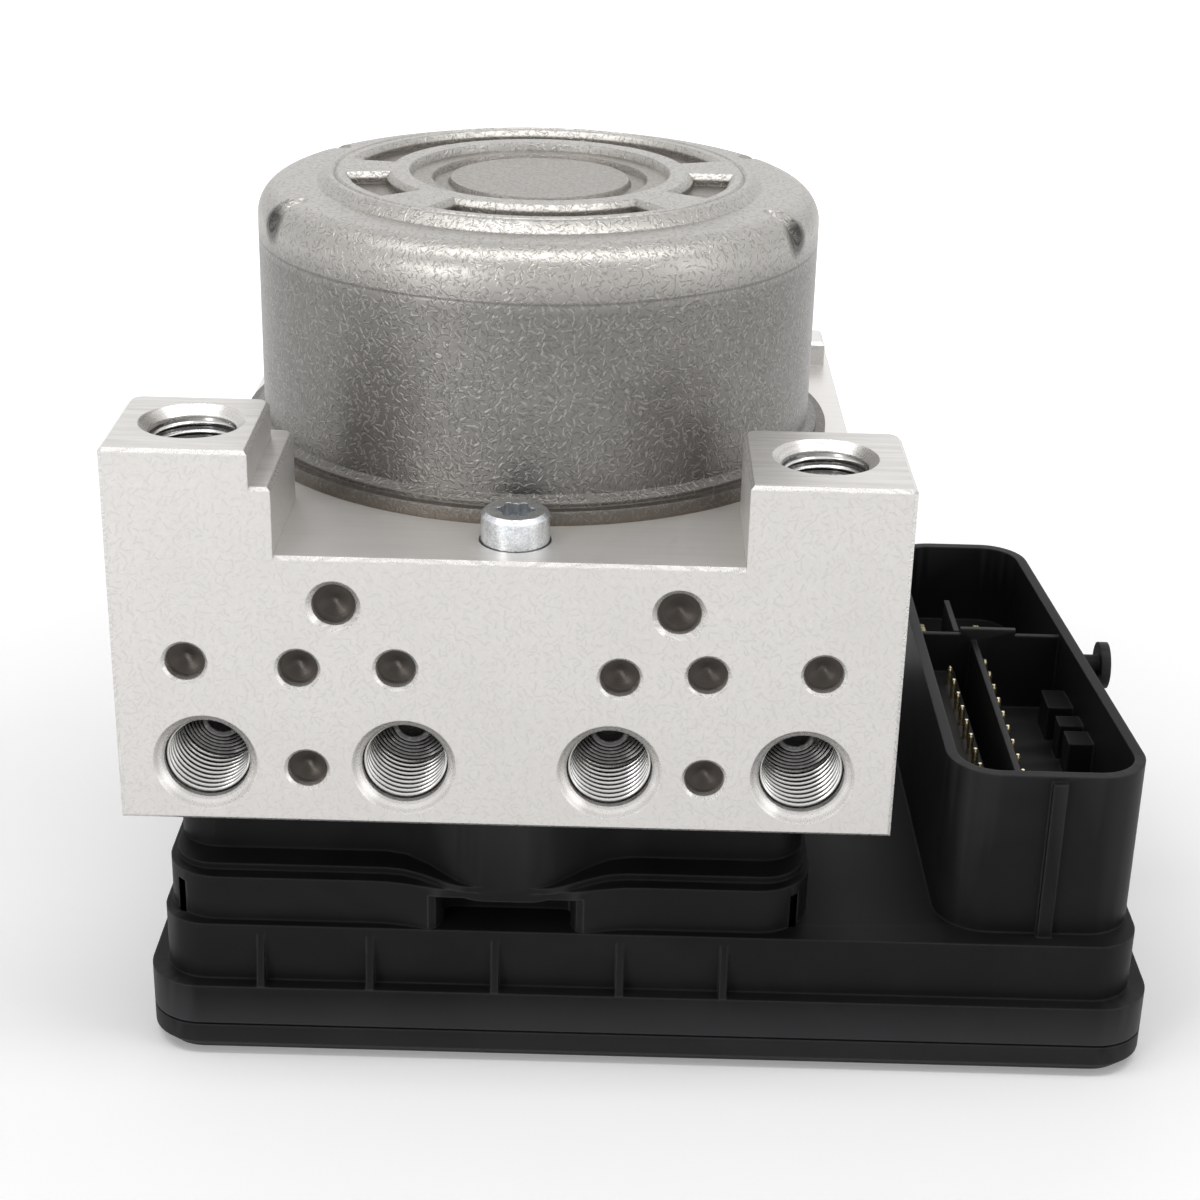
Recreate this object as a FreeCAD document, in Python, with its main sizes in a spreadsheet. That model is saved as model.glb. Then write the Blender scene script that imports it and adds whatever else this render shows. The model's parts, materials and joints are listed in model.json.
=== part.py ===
"""Brake pressure modulator: valve block, pump motor and control unit in one frame.

Millimetres, +Z up, +X to the right, +Y to the back. The origin is the point where the
motor's axis meets the underside of the control unit's cover.
"""
import FreeCAD, Part
import math
import os
import Sketcher
from FreeCAD import Placement, Rotation, Vector

doc = FreeCAD.newDocument("BrakeModulator")
sheet = doc.addObject("Spreadsheet::Sheet", "Sizes")
nodes = []


class Size:
    """A length or an angle: its number, and the sheet formula that gives it."""

    def __init__(self, number, formula):
        self.number = float(number)
        self.formula = formula

    def joined(self, other, sign, number):
        return Size(number, f"({self.formula} {sign} {other.formula})")

    def __add__(self, other):
        other = as_size(other)
        return self.joined(other, "+", self.number + other.number)

    def __radd__(self, other):
        return as_size(other) + self

    def __sub__(self, other):
        other = as_size(other)
        return self.joined(other, "-", self.number - other.number)

    def __rsub__(self, other):
        return as_size(other) - self

    def __mul__(self, other):
        other = as_size(other)
        return self.joined(other, "*", self.number * other.number)

    def __rmul__(self, other):
        return as_size(other) * self

    def __truediv__(self, other):
        other = as_size(other)
        return self.joined(other, "/", self.number / other.number)

    def __neg__(self):
        return Size(-self.number, f"(-1 * {self.formula})")


def as_size(value):
    if isinstance(value, Size):
        return value
    return Size(value, f"({float(value)})")


def cosine(degrees):
    return Size(math.cos(math.radians(degrees)), f"cos({float(degrees)} deg)")


def sine(degrees):
    return Size(math.sin(math.radians(degrees)), f"sin({float(degrees)} deg)")


def size(alias, value, note):
    """Writes one driving dimension into the sheet and returns it."""
    row = size.rows = getattr(size, "rows", 0) + 1
    sheet.set(f"A{row}", alias)
    sheet.set(f"B{row}", str(value))
    sheet.set(f"C{row}", note)
    sheet.setAlias(f"B{row}", alias)
    return Size(value, f"Sizes.{alias}")


# Valve block
block_width = size("block_width", 108, "across both front port bosses")
block_depth = size("block_depth", 104.0, "front face to rear face")
block_height = size("block_height", 40.2, "underside to the ledge that carries the motor")
axis_from_left = size("axis_from_left", 55.6, "motor axis from the left face of the block")
axis_from_front = size("axis_from_front", 58.6, "motor axis from the front face")
left_relief = size("left_relief", 9.6, "how far the left side steps in behind its boss")
right_relief = size("right_relief", 3.7, "how far the right side steps in behind its boss")
left_boss_width = size("left_boss_width", 19.7, "left port boss, side to side")
left_boss_depth = size("left_boss_depth", 22.4, "left port boss, front to back")
left_boss_rise = size("left_boss_rise", 14.7, "left port boss above the ledge")
step_width = size("step_width", 2.9, "step beside the left boss")
step_depth = size("step_depth", 24.0, "step beside the left boss, front to back")
step_rise = size("step_rise", 9.7, "step beside the left boss, above the ledge")
right_boss_width = size("right_boss_width", 22.1, "right port boss, side to side")
right_boss_depth = size("right_boss_depth", 23.2, "right port boss, front to back")
right_boss_rise = size("right_boss_rise", 11.7, "right port boss above the ledge")
lug_width = size("lug_width", 5.9, "small lug at the rear right")
lug_depth = size("lug_depth", 8.0, "small lug, front to back")
lug_rise = size("lug_rise", 4.0, "small lug above the ledge")
lug_margin = size("lug_margin", 1.0, "small lug from the block's right side")
lug_y = size("lug_y", 37.4, "middle of the small lug behind the motor axis")
block_chamfer = size("block_chamfer", 0.5, "broken outer edges")
boss_corner = size("boss_corner", 2.0, "rounded rear corners of the bosses")

# Pipe ports
port_radius = size("port_radius", 6.0, "outer radius of the port thread")
port_depth = size("port_depth", 14.0, "threaded depth of a front port")
top_port_depth = size("top_port_depth", 11.0, "threaded depth of a port in a boss")
port_mouth = size("port_mouth", 7.3, "mouth radius of a port")
port_mouth_depth = size("port_mouth_depth", 1.2, "depth of the bevelled mouth")
port_channel = size("port_channel", 2.2, "radius of the channel behind a port")
port_channel_depth = size("port_channel_depth", 4.0, "channel beyond the drill point")
front_port_level = size("front_port_level", 9.0, "front ports above the underside")
front_port_1 = size("front_port_1", 12.2, "first front port from the left face")
front_port_2 = size("front_port_2", 39.8, "second front port from the left face")
front_port_3 = size("front_port_3", 68.3, "third front port from the left face")
front_port_4 = size("front_port_4", 95.1, "fourth front port from the left face")
left_port_x = size("left_port_x", 10.4, "left top port from the left face")
left_port_y = size("left_port_y", 12.1, "left top port from the front face")
right_port_x = size("right_port_x", 11.3, "right top port from the right face")
right_port_y = size("right_port_y", 12.5, "right top port from the front face")

# Channel plugs in the front face
plug_radius = size("plug_radius", 2.75, "small channel plug")
plug_length = size("plug_length", 4.0, "small channel plug")
plug_mouth = size("plug_mouth", 3.2, "bevelled mouth of a small plug's hole")
large_plug_radius = size("large_plug_radius", 3.0, "large channel plug")
large_plug_length = size("large_plug_length", 5.0, "large channel plug")
large_plug_mouth = size("large_plug_mouth", 3.75, "bevelled mouth of a large plug's hole")
plug_recess = size("plug_recess", 1.6, "plugs below the front face")
plug_cone = size("plug_cone", 0.9, "depth of the dished plug face")
plug_clearance = size("plug_clearance", 0.02, "plug to its hole")
plug_hole_depth = size("plug_hole_depth", 9.0, "drilled depth behind a plug")

# Stack of the control unit
cover_height = size("cover_height", 5.5, "cover of the control unit")
flange_height = size("flange_height", 6.3, "flange band of the housing")
tier_height = size("tier_height", 9.2, "housing wall above the flange")
coil_height = size("coil_height", 20.0, "coil chamber above the top plate")
flange_left = size("flange_left", 54.8, "housing flange, left of the motor axis")
flange_right = size("flange_right", 93.6, "housing flange, right of the motor axis")
flange_front = size("flange_front", 56.2, "housing flange, in front of the motor axis")
flange_back = size("flange_back", 45.8, "housing flange, behind the motor axis")
flange_step = size("flange_step", 2.3, "housing wall inside the flange's edge")
flange_corner = size("flange_corner", 8.0, "corner radius of the flange")
tier_corner = size("tier_corner", 6.8, "corner radius of the housing wall")
cover_chamfer = size("cover_chamfer", 2.1, "lower edge of the cover")
cover_wall = size("cover_wall", 2.2, "floor of the cover")
cover_rim = size("cover_rim", 5.0, "solid rim of the cover")
seam_inset = size("seam_inset", 0.6, "depth of the fine groove between housing and cover")
seam_gap = size("seam_gap", 0.35, "height of the fine groove between housing and cover")
housing_wall = size("housing_wall", 1.8, "moulded wall")
rib_thickness = size("rib_thickness", 1.1, "stiffening ribs on the housing wall")
rib_1 = size("rib_1", 37.6, "first front rib, left of the motor axis")
rib_2 = size("rib_2", 21.6, "second front rib, left of the motor axis")
rib_3 = size("rib_3", 3.3, "third front rib, left of the motor axis")
rib_4 = size("rib_4", 15.0, "fourth front rib, right of the motor axis")
rib_5 = size("rib_5", 30.2, "fifth front rib, right of the motor axis")
rib_side_pitch = size("rib_side_pitch", 28.0, "pitch of the ribs on the short sides")
rib_side_y = size("rib_side_y", 5.0, "middle side rib in front of the motor axis")
rib_drop = size("rib_drop", 1.2, "ribs below the top of the housing wall")
rib_margin = size("rib_margin", 0.2, "ribs inside the flange's edge")
rib_root = size("rib_root", 1.0, "ribs run this far into the wall")

# Coil chamber of the housing
chamber_left = size("chamber_left", 51.1, "coil chamber, left of the motor axis")
chamber_right = size("chamber_right", 41.9, "coil chamber, right of the motor axis")
chamber_front = size("chamber_front", 45.1, "coil chamber, in front of the motor axis")
chamber_back = size("chamber_back", 42.6, "coil chamber, behind the motor axis")
chamber_corner = size("chamber_corner", 6.5, "corner radius of the coil chamber")
skirt_height = size("skirt_height", 7.0, "foot skirt round the coil chamber")
skirt_reach = size("skirt_reach", 7.2, "foot skirt in front of the chamber wall")
skirt_side = size("skirt_side", 0.8, "foot skirt beyond the chamber's sides")
skirt_corner = size("skirt_corner", 8.0, "corner radius of the foot skirt")
skirt_bulge = size("skirt_bulge", 1.7, "bulge of the skirt under the bolt post")
bulge_foot = size("bulge_foot", 17.0, "half width of the bulge where it leaves the skirt")
bulge_top = size("bulge_top", 10.0, "half width of the bulge where it is furthest out")
bulge_round = size("bulge_round", 6.0, "rounding of the bulge in plan")
skirt_step = size("skirt_step", 2.3, "raised back part of the skirt's ledge")
skirt_step_height = size("skirt_step_height", 1.0, "its height")
skirt_edge = size("skirt_edge", 0.6, "broken upper edge of the skirt")
post_x = size("post_x", 1.8, "front bolt post, left of the motor axis")
post_y = size("post_y", 46.5, "front bolt post, in front of the motor axis")
post_radius = size("post_radius", 8.4, "reach of the front bolt post")
post_foot = size("post_foot", 15.0, "half width of the post where it leaves the chamber wall")
post_top = size("post_top", 5.5, "half width of the post where it is furthest out")
post_round = size("post_round", 6.0, "rounding of the post in plan")
ease = size("ease", 0.35, "share of a swelling's flank that runs out into the wall")
recess_width = size("recess_width", 19.0, "recess in the skirt under the front bolt post")
recess_height = size("recess_height", 5.6, "recess in the skirt under the front bolt post")
recess_depth = size("recess_depth", 7.0, "recess in the skirt under the front bolt post")
recess_round = size("recess_round", 2.6, "rounded sides of the recess's mouth")

# Connector shroud
shroud_left = size("shroud_left", 61.7, "shroud's left wall from the motor axis")
shroud_right = size("shroud_right", 91.3, "shroud's right wall from the motor axis, at its front")
shroud_taper = size("shroud_taper", 6.4, "how far the right wall comes in towards the back")
shroud_front = size("shroud_front", 50.4, "shroud, in front of the motor axis")
shroud_back = size("shroud_back", 38.4, "shroud, behind the motor axis")
shroud_height = size("shroud_height", 26.0, "shroud above the top plate")
shroud_wall = size("shroud_wall", 1.6, "wall of the shroud")
shroud_corner = size("shroud_corner", 7.5, "outer corner radius of the shroud")
socket_floor = size("socket_floor", 12.0, "socket floor above the top plate")
cross_wall_y = size("cross_wall_y", 1.4, "cross wall behind the motor axis")
cross_wall_drop = size("cross_wall_drop", 1.0, "cross wall below the rim")
cross_tab_width = size("cross_tab_width", 9.0, "raised tab of the cross wall")
cross_tab_x = size("cross_tab_x", 74.3, "raised tab of the cross wall from the motor axis")
divider_x = size("divider_x", 72.1, "divider between the pin rows, from the motor axis")
divider_wall = size("divider_wall", 0.9, "thickness of the divider")
divider_drop = size("divider_drop", 2.0, "divider below the rim")
divider_start = size("divider_start", 5.0, "divider behind the shroud's front")
rear_wall_x = size("rear_wall_x", 70.9, "low wall of the rear compartment from the motor axis")
rear_wall_start = size("rear_wall_start", 10.0, "low wall behind the cross wall")
rear_wall_length = size("rear_wall_length", 13.0, "low wall of the rear compartment")
rear_wall_drop = size("rear_wall_drop", 5.0, "low wall below the rim")
step_floor = size("step_floor", 6.2, "raised floor round the left pin row above the socket floor")
step_floor_right = size("step_floor_right", 69.4, "its right edge from the motor axis")
key_reach = size("key_reach", 3.6, "keying blocks off the right wall")
key_drop = size("key_drop", 8.0, "keying blocks below the rim")
key_blocks = [
    (size("key_1_back", 4.8, "first keying block in front of the motor axis"),
     size("key_1_length", 6.4, "first keying block")),
    (size("key_2_back", 14.2, "second keying block in front of the motor axis"),
     size("key_2_length", 3.5, "second keying block")),
    (size("key_3_back", 19.5, "third keying block in front of the motor axis"),
     size("key_3_length", 4.5, "third keying block")),
]
front_rib_x = size("front_rib_x", 77.15, "outer rib on the shroud's front, from the motor axis")
front_rib_width = size("front_rib_width", 2.1, "outer rib on the shroud's front")
front_rib_reach = size("front_rib_reach", 1.2, "outer rib off the shroud's front")
front_rib_drop = size("front_rib_drop", 0.8, "outer rib below the rim")
knob_y = size("knob_y", 1.6, "lever pivot in front of the motor axis")
knob_drop = size("knob_drop", 4.7, "lever pivot below the rim")
knob_radius = size("knob_radius", 3.8, "head of the lever pivot")
knob_stem = size("knob_stem", 1.7, "stem of the lever pivot")
knob_end = size("knob_end", 93.6, "outer end of the lever pivot from the motor axis")
knob_head = size("knob_head", 1.5, "head thickness of the lever pivot")

# Connector pins
pin_count = 9
pin_radius = size("pin_radius", 0.5, "signal pins")
pin_pitch = size("pin_pitch", 4.85, "signal pins along a row")
left_row_x = size("left_row_x", 67.8, "left pin row from the motor axis")
right_row_x = size("right_row_x", 73.9, "right pin row from the motor axis")
left_row_back = size("left_row_back", 4.1, "last left pin in front of the motor axis")
right_row_back = size("right_row_back", 0.9, "last right pin in front of the motor axis")
pin_tip = size("pin_tip", 0.6, "tapered tip of a signal pin")
pin_drop = size("pin_drop", 4.5, "pin tips below the rim")
pin_clearance = size("pin_clearance", 0.02, "pins to the moulded floor")
blade_width = size("blade_width", 6.0, "power blades")
blade_thickness = size("blade_thickness", 1.0, "power blades")
blade_drop = size("blade_drop", 9.0, "power blades below the rim")
blade_y = size("blade_y", 20.0, "power blades behind the motor axis")
blade_first_x = size("blade_first_x", 66.6, "first power blade from the motor axis")
blade_pitch = size("blade_pitch", 9.5, "power blades")

# Bolts
bolt_radius = size("bolt_radius", 3.0, "through bolts")
bolt_hole = size("bolt_hole", 3.3, "clearance holes for the bolts")
bolt_head_radius = size("bolt_head_radius", 4.75, "bolt heads")
bolt_head_height = size("bolt_head_height", 6.0, "bolt heads")
bolt_head_bevel = size("bolt_head_bevel", 0.6, "bevelled edge of the bolt heads")
bolt_socket = size("bolt_socket", 2.55, "six-lobe socket, mean radius")
bolt_socket_depth = size("bolt_socket_depth", 2.8, "six-lobe socket")
counterbore_radius = size("counterbore_radius", 5.0, "counterbores for the bolt heads")
counterbore_depth = size("counterbore_depth", 1.6, "counterbores for the bolt heads")
front_bolt_x = size("front_bolt_x", 1.0, "front bolt, left of the motor axis")
front_bolt_y = size("front_bolt_y", 50.1, "front bolt, in front of the motor axis")
rear_bolt_y = size("rear_bolt_y", 37.4, "rear bolts behind the motor axis")
rear_bolt_x = size("rear_bolt_x", 35.0, "rear bolts from the block's middle")
insert_radius = size("insert_radius", 3.9, "brass inserts in the housing")
insert_length = size("insert_length", 9.0, "brass inserts in the housing")
insert_drop = size("insert_drop", 0.6, "inserts below the top of the housing")
thread_clearance = size("thread_clearance", 0.05, "bolt to its insert")
boss_radius = size("boss_radius", 5.2, "bolt bosses inside the coil chamber")
boss_floor = size("boss_floor", 1.5, "closed end of a bolt boss")

# Motor
can_radius = size("can_radius", 42.2, "outside of the motor can")
can_wall = size("can_wall", 1.8, "sheet of the motor can")
can_flange_radius = size("can_flange_radius", 45.1, "flange of the motor can")
can_flange_height = size("can_flange_height", 2.1, "flange of the motor can")
can_lip_radius = size("can_lip_radius", 43.6, "rolled lip at the foot of the can")
can_lip_height = size("can_lip_height", 0.7, "rolled lip at the foot of the can")
can_height = size("can_height", 38.3, "ledge to the can's shoulder")
can_shoulder = size("can_shoulder", 4.6, "rounded shoulder of the can")
platform_radius = size("platform_radius", 33.3, "foot of the embossed platform")
platform_rise = size("platform_rise", 1.5, "platform above the shoulder")
platform_slope = size("platform_slope", 1.7, "width of the platform's sloped edge")
line_radius = size("line_radius", 30.7, "fine stamped line on the platform")
line_width = size("line_width", 0.35, "fine stamped line")
pocket_outer = size("pocket_outer", 28.4, "arc pockets in the platform, outer radius")
pocket_inner = size("pocket_inner", 23.1, "arc pockets in the platform, inner radius")
pocket_depth = size("pocket_depth", 1.7, "arc pockets in the platform")
dish_radius = size("dish_radius", 19.6, "dish inside the platform's ring")
dish_depth = size("dish_depth", 1.1, "dish inside the platform's ring")
disc_groove_radius = size("disc_groove_radius", 15.8, "groove round the centre disc")
disc_groove_depth = size("disc_groove_depth", 0.8, "groove round the centre disc")
disc_radius = size("disc_radius", 13.8, "centre disc")
pocket_bevel = size("pocket_bevel", 0.8, "sloped edges of the arc pockets")
platform_round = size("platform_round", 0.8, "rounded edge of the platform")
crimp_radius = size("crimp_radius", 1.8, "crimps in the shoulder, radius of the groove")
crimp_depth = size("crimp_depth", 4.5, "crimps below the shoulder at the can's side")
crimp_slope = size("crimp_slope", 38, "slope of the crimps, in degrees")
crimp_length = size("crimp_length", 14.0, "cutting length of a crimp")
crimp_start = size("crimp_start", 34.0, "crimps start this far from the motor's axis")
end_plate_height = size("end_plate_height", 2.5, "end plate of the motor")
end_plate_clearance = size("end_plate_clearance", 0.1, "end plate to the can")
bearing_radius = size("bearing_radius", 11.0, "lower bearing")
bearing_height = size("bearing_height", 6.0, "lower bearing")
bearing_collar = size("bearing_collar", 1.6, "collar of the end plate round the bearing")
shaft_radius = size("shaft_radius", 4.0, "motor shaft")
running_clearance = size("running_clearance", 0.03, "shaft and rings to their bearings")
chamber_radius = size("chamber_radius", 14.0, "eccentric chamber in the block")
chamber_depth = size("chamber_depth", 23.0, "eccentric chamber in the block")
eccentricity = size("eccentricity", 1.0, "offset of the eccentric journal")
journal_radius = size("journal_radius", 5.5, "eccentric journal")
journal_length = size("journal_length", 13.0, "eccentric journal")
journal_top = size("journal_top", 7.4, "eccentric journal below the ledge")
ring_radius = size("ring_radius", 9.5, "needle bearing on the eccentric")
ring_height = size("ring_height", 10.0, "needle bearing on the eccentric")
core_radius = size("core_radius", 32.2, "armature core")
core_height = size("core_height", 14.0, "armature core")
core_level = size("core_level", 15.6, "armature core above the ledge")
slot_count = 12
slot_width = size("slot_width", 4.0, "slots of the armature core")
slot_depth = size("slot_depth", 12.0, "slots of the armature core")
slot_clearance = size("slot_clearance", 0.1, "windings to the core")
winding_overhang = size("winding_overhang", 2.6, "end turns beyond the core")
winding_bore = size("winding_bore", 14.0, "end turns, inner radius")
magnet_count = 4
magnet_thickness = size("magnet_thickness", 6.6, "magnet segments")
magnet_height = size("magnet_height", 19.0, "magnet segments")
magnet_level = size("magnet_level", 13.8, "magnet segments above the ledge")
magnet_gap = size("magnet_gap", 0.15, "magnets to the can")
magnet_angle = size("magnet_angle", 76, "arc of a magnet segment, in degrees")
commutator_radius = size("commutator_radius", 10.0, "commutator")
commutator_height = size("commutator_height", 8.4, "commutator")
commutator_level = size("commutator_level", 4.4, "commutator above the ledge")
top_bearing_radius = size("top_bearing_radius", 7.0, "upper bearing bush")
top_bearing_height = size("top_bearing_height", 5.0, "upper bearing bush")
bearing_cup = size("bearing_cup", 1.6, "cup in the can round the upper bush")

# Brushes
holder_radius = size("holder_radius", 37.0, "brush holder")
holder_height = size("holder_height", 1.8, "brush holder plate")
holder_bore = size("holder_bore", 13.0, "brush holder, round the commutator")
brush_width = size("brush_width", 6.0, "brush")
brush_height = size("brush_height", 6.0, "brush")
brush_length = size("brush_length", 10.0, "brush")
brush_gap = size("brush_gap", 0.1, "brush to its guide")
brush_rest = size("brush_rest", 0.3, "brush to the commutator")
guide_wall = size("guide_wall", 1.2, "walls of the brush guides")
guide_start = size("guide_start", 13.4, "brush guides from the motor axis")
guide_end = size("guide_end", 28.0, "brush guides from the motor axis")
contact_x = size("contact_x", 4.6, "motor contacts, left of the motor axis")
contact_y = size("contact_y", 22.0, "motor contacts, in front of the motor axis")
contact_pitch = size("contact_pitch", 4.4, "motor contacts")
contact_radius = size("contact_radius", 0.9, "motor contacts")
stalk_radius = size("stalk_radius", 4.3, "plastic stalk round the contacts")
stalk_hole = size("stalk_hole", 4.6, "bore for the stalk")
stalk_length = size("stalk_length", 53.7, "plastic stalk below the brush holder")
brush_spring_radius = size("brush_spring_radius", 1.8, "brush springs, mean radius")
brush_spring_wire = size("brush_spring_wire", 0.5, "brush spring wire")
brush_spring_turns = 4

# Pump
pump_level = size("pump_level", 26.0, "pump axis above the underside of the block")
pump_bore = size("pump_bore", 7.5, "pump bores")
sleeve_clearance = size("sleeve_clearance", 0.02, "sleeves and covers to their bores")
piston_radius = size("piston_radius", 3.25, "pump pistons")
piston_length = size("piston_length", 14.0, "pump pistons")
piston_gap = size("piston_gap", 0.3, "piston to the ring at its nearest")
sleeve_start = size("sleeve_start", 16.0, "cylinder sleeves from the motor axis")
sleeve_length = size("sleeve_length", 20.0, "cylinder sleeves")
sleeve_guide = size("sleeve_guide", 8.0, "guided length inside a sleeve")
sleeve_chamber = size("sleeve_chamber", 4.8, "spring chamber radius inside a sleeve")
pump_spring_radius = size("pump_spring_radius", 3.0, "pump springs, mean radius")
pump_spring_wire = size("pump_spring_wire", 0.8, "pump spring wire")
pump_spring_turns = 4
pump_spring_gap = size("pump_spring_gap", 0.1, "ends of a pump spring to their seats")
end_plug_inner = size("end_plug_inner", 39.8, "inner face of the pump end plugs")
end_plug_recess = size("end_plug_recess", 0.8, "end plugs below the block's sides")
end_plug_socket = size("end_plug_socket", 3.5, "socket of the end plugs")
end_plug_socket_depth = size("end_plug_socket_depth", 3.0, "socket of the end plugs")
ball_radius = size("ball_radius", 2.0, "outlet check balls")

# Low pressure accumulators in the rear face
store_level = size("store_level", 20.0, "accumulator axis above the underside")
store_pitch = size("store_pitch", 26.4, "accumulators, centre to centre")
store_radius = size("store_radius", 11.5, "accumulator bores")
store_depth = size("store_depth", 23.0, "accumulator bores")
store_rest = size("store_rest", 1.1, "accumulator pistons from the ends of their bores")
store_piston_length = size("store_piston_length", 7.0, "accumulator pistons")
store_piston_gap = size("store_piston_gap", 0.05, "accumulator pistons to their bores")
store_piston_cup = size("store_piston_cup", 8.6, "hollow of an accumulator piston")
store_cover_height = size("store_cover_height", 2.0, "accumulator covers")
store_cover_recess = size("store_cover_recess", 0.8, "covers below the rear face")
store_dome = size("store_dome", 6.0, "raised centre of an accumulator cover")
store_spring_radius = size("store_spring_radius", 6.8, "accumulator springs, mean radius")
store_spring_wire = size("store_spring_wire", 1.2, "accumulator spring wire")
store_spring_turns = 4
seal_wire = size("seal_wire", 0.8, "seal ring on an accumulator piston, wire radius")
seal_place = size("seal_place", 3.4, "seal ring from the closed end of its piston")

# Solenoid valves
valve_pitch_x = size("valve_pitch_x", 22.5, "valves, side to side")
valve_middle_x = size("valve_middle_x", 4.6, "middle of the valves, left of the motor axis")
inlet_row_y = size("inlet_row_y", 31.5, "inlet valves, in front of the motor axis")
outlet_row_y = size("outlet_row_y", 11.0, "outlet valves, in front of the motor axis")
valve_radius = size("valve_radius", 5.0, "valve bodies in the block")
valve_seat_depth = size("valve_seat_depth", 15.0, "valve bodies in the block")
dome_radius = size("dome_radius", 3.9, "valve domes")
dome_hole = size("dome_hole", 0.3, "valve domes and the sensor to their holes in the housing")
dome_length = size("dome_length", 20.4, "valve domes below the block")
dome_wall = size("dome_wall", 0.8, "valve domes")
dome_floor = size("dome_floor", 1.4, "closed end of a valve dome")
armature_gap = size("armature_gap", 0.05, "armatures to their domes")
armature_travel = size("armature_travel", 0.3, "stroke of a valve armature")
armature_length = size("armature_length", 15.0, "valve armatures")
armature_play = size("armature_play", 0.7, "valve armature to the dome's end")
needle_radius = size("needle_radius", 0.7, "valve needle")
needle_length = size("needle_length", 9.0, "valve needle")
valve_spring_radius = size("valve_spring_radius", 1.9, "valve springs")
valve_spring_length = size("valve_spring_length", 3.4, "valve springs")
valve_spring_wire = size("valve_spring_wire", 0.4, "valve springs")
valve_spring_turns = 2
coil_radius = size("coil_radius", 7.7, "coil windings")
coil_bore = size("coil_bore", 4.3, "coil windings")
coil_length = size("coil_length", 13.6, "coil windings")
coil_level = size("coil_level", 24.5, "coil windings above the cover's underside")
yoke_wall = size("yoke_wall", 0.9, "coil yokes")
yoke_gap = size("yoke_gap", 0.1, "coil yokes to their windings")
sensor_y = size("sensor_y", 15.0, "pressure sensor behind the motor axis")
sensor_radius = size("sensor_radius", 5.0, "pressure sensor in the block")
sensor_depth = size("sensor_depth", 11.0, "pressure sensor in the block")
sensor_head_radius = size("sensor_head_radius", 6.2, "pressure sensor's head")
sensor_head_length = size("sensor_head_length", 14.0, "pressure sensor below the block")

# Circuit board
board_level = size("board_level", 12.6, "underside of the circuit board")
board_thickness = size("board_thickness", 1.6, "circuit board")
board_margin = size("board_margin", 1.2, "circuit board to the housing wall")
board_post = size("board_post", 2.4, "posts that carry the board")
board_hole = size("board_hole", 0.2, "holes in the board round the pins")

# Seals
seal_inset = size("seal_inset", 1.7, "seals from the outer edge")
seal_width = size("seal_width", 1.6, "seals")
seal_depth = size("seal_depth", 1.0, "seal grooves")
block_seal_inset = size("block_seal_inset", 0.9, "block seal from the chamber's edge")
block_seal_back = size("block_seal_back", 31.5, "block seal behind the motor axis")
seal_play = size("seal_play", 0.05, "seals to their grooves")

# Bracket threads
bracket_radius = size("bracket_radius", 3.0, "bracket screw holes")
bracket_depth = size("bracket_depth", 12.0, "threaded depth of a bracket screw hole")
bracket_drill = size("bracket_drill", 2.5, "drilled end of a bracket screw hole")
bracket_drill_depth = size("bracket_drill_depth", 15.0, "drilled depth of a bracket screw hole")
bracket_mouth = size("bracket_mouth", 0.5, "bevelled mouth of a bracket screw hole")
bracket_y = size("bracket_y", 22.0, "side bracket holes behind the motor axis")
bracket_level = size("bracket_level", 21.0, "bracket screw holes above the underside")

# Arcs of the four pockets and places of the four crimps, in degrees from the right
pocket_arcs = ((20, 170), (190, 220), (241, 308), (329, 359))
crimp_angles = (-26, 32, 148, 206)

# Levels and faces worked out from the sizes above
left_face = -axis_from_left
right_face = block_width - axis_from_left
front_face = -axis_from_front
rear_face = block_depth - axis_from_front
side_left = left_face + left_relief
side_right = right_face - right_relief
block_middle = (side_left + side_right) / 2
seam_level = cover_height
flange_top = seam_level + flange_height
plate_level = flange_top + tier_height
block_bottom = plate_level + coil_height
ledge = block_bottom + block_height
rim_level = plate_level + shroud_height
shoulder_level = ledge + can_height
platform_level = shoulder_level + platform_rise
bolt_places = [
    (-front_bolt_x, -front_bolt_y),
    (block_middle - rear_bolt_x, rear_bolt_y),
    (block_middle + rear_bolt_x, rear_bolt_y),
]
valve_columns = [-valve_middle_x + valve_pitch_x * step for step in (-1.5, -0.5, 0.5, 1.5)]
valve_rows = {"inlet": -inlet_row_y, "outlet": -outlet_row_y}
store_columns = [block_middle - store_pitch / 2, block_middle + store_pitch / 2]
front_ports = [left_face + place for place in (front_port_1, front_port_2, front_port_3, front_port_4)]
small_plugs = [
    (size("plug_1_x", 10.0, "plug from the left face"), size("plug_1_z", 24.2, "above the underside")),
    (size("plug_2_x", 25.4, "plug from the left face"), size("plug_2_z", 23.6, "above the underside")),
    (size("plug_3_x", 38.8, "plug from the left face"), size("plug_3_z", 23.9, "above the underside")),
    (size("plug_4_x", 69.4, "plug from the left face"), size("plug_4_z", 23.4, "above the underside")),
    (size("plug_5_x", 81.4, "plug from the left face"), size("plug_5_z", 24.1, "above the underside")),
    (size("plug_6_x", 97.2, "plug from the left face"), size("plug_6_z", 24.7, "above the underside")),
    (size("plug_7_x", 26.3, "plug from the left face"), size("plug_7_z", 8.3, "above the underside")),
    (size("plug_8_x", 81.5, "plug from the left face"), size("plug_8_z", 8.3, "above the underside")),
]
large_plugs = [
    (size("large_plug_1_x", 30.5, "plug from the left face"), size("large_plug_1_z", 33.1, "above")),
    (size("large_plug_2_x", 77.2, "plug from the left face"), size("large_plug_2_z", 33.1, "above")),
]

# Directions in which a turned piece or a bore can point
UP = Rotation()
DOWN = Rotation(Vector(1, 0, 0), 180)
RIGHT = Rotation(Vector(0, 1, 0), 90)
LEFT = Rotation(Vector(0, 1, 0), -90)
BACK = Rotation(Vector(1, 0, 0), -90)
FRONT = Rotation(Vector(1, 0, 0), 90)


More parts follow.
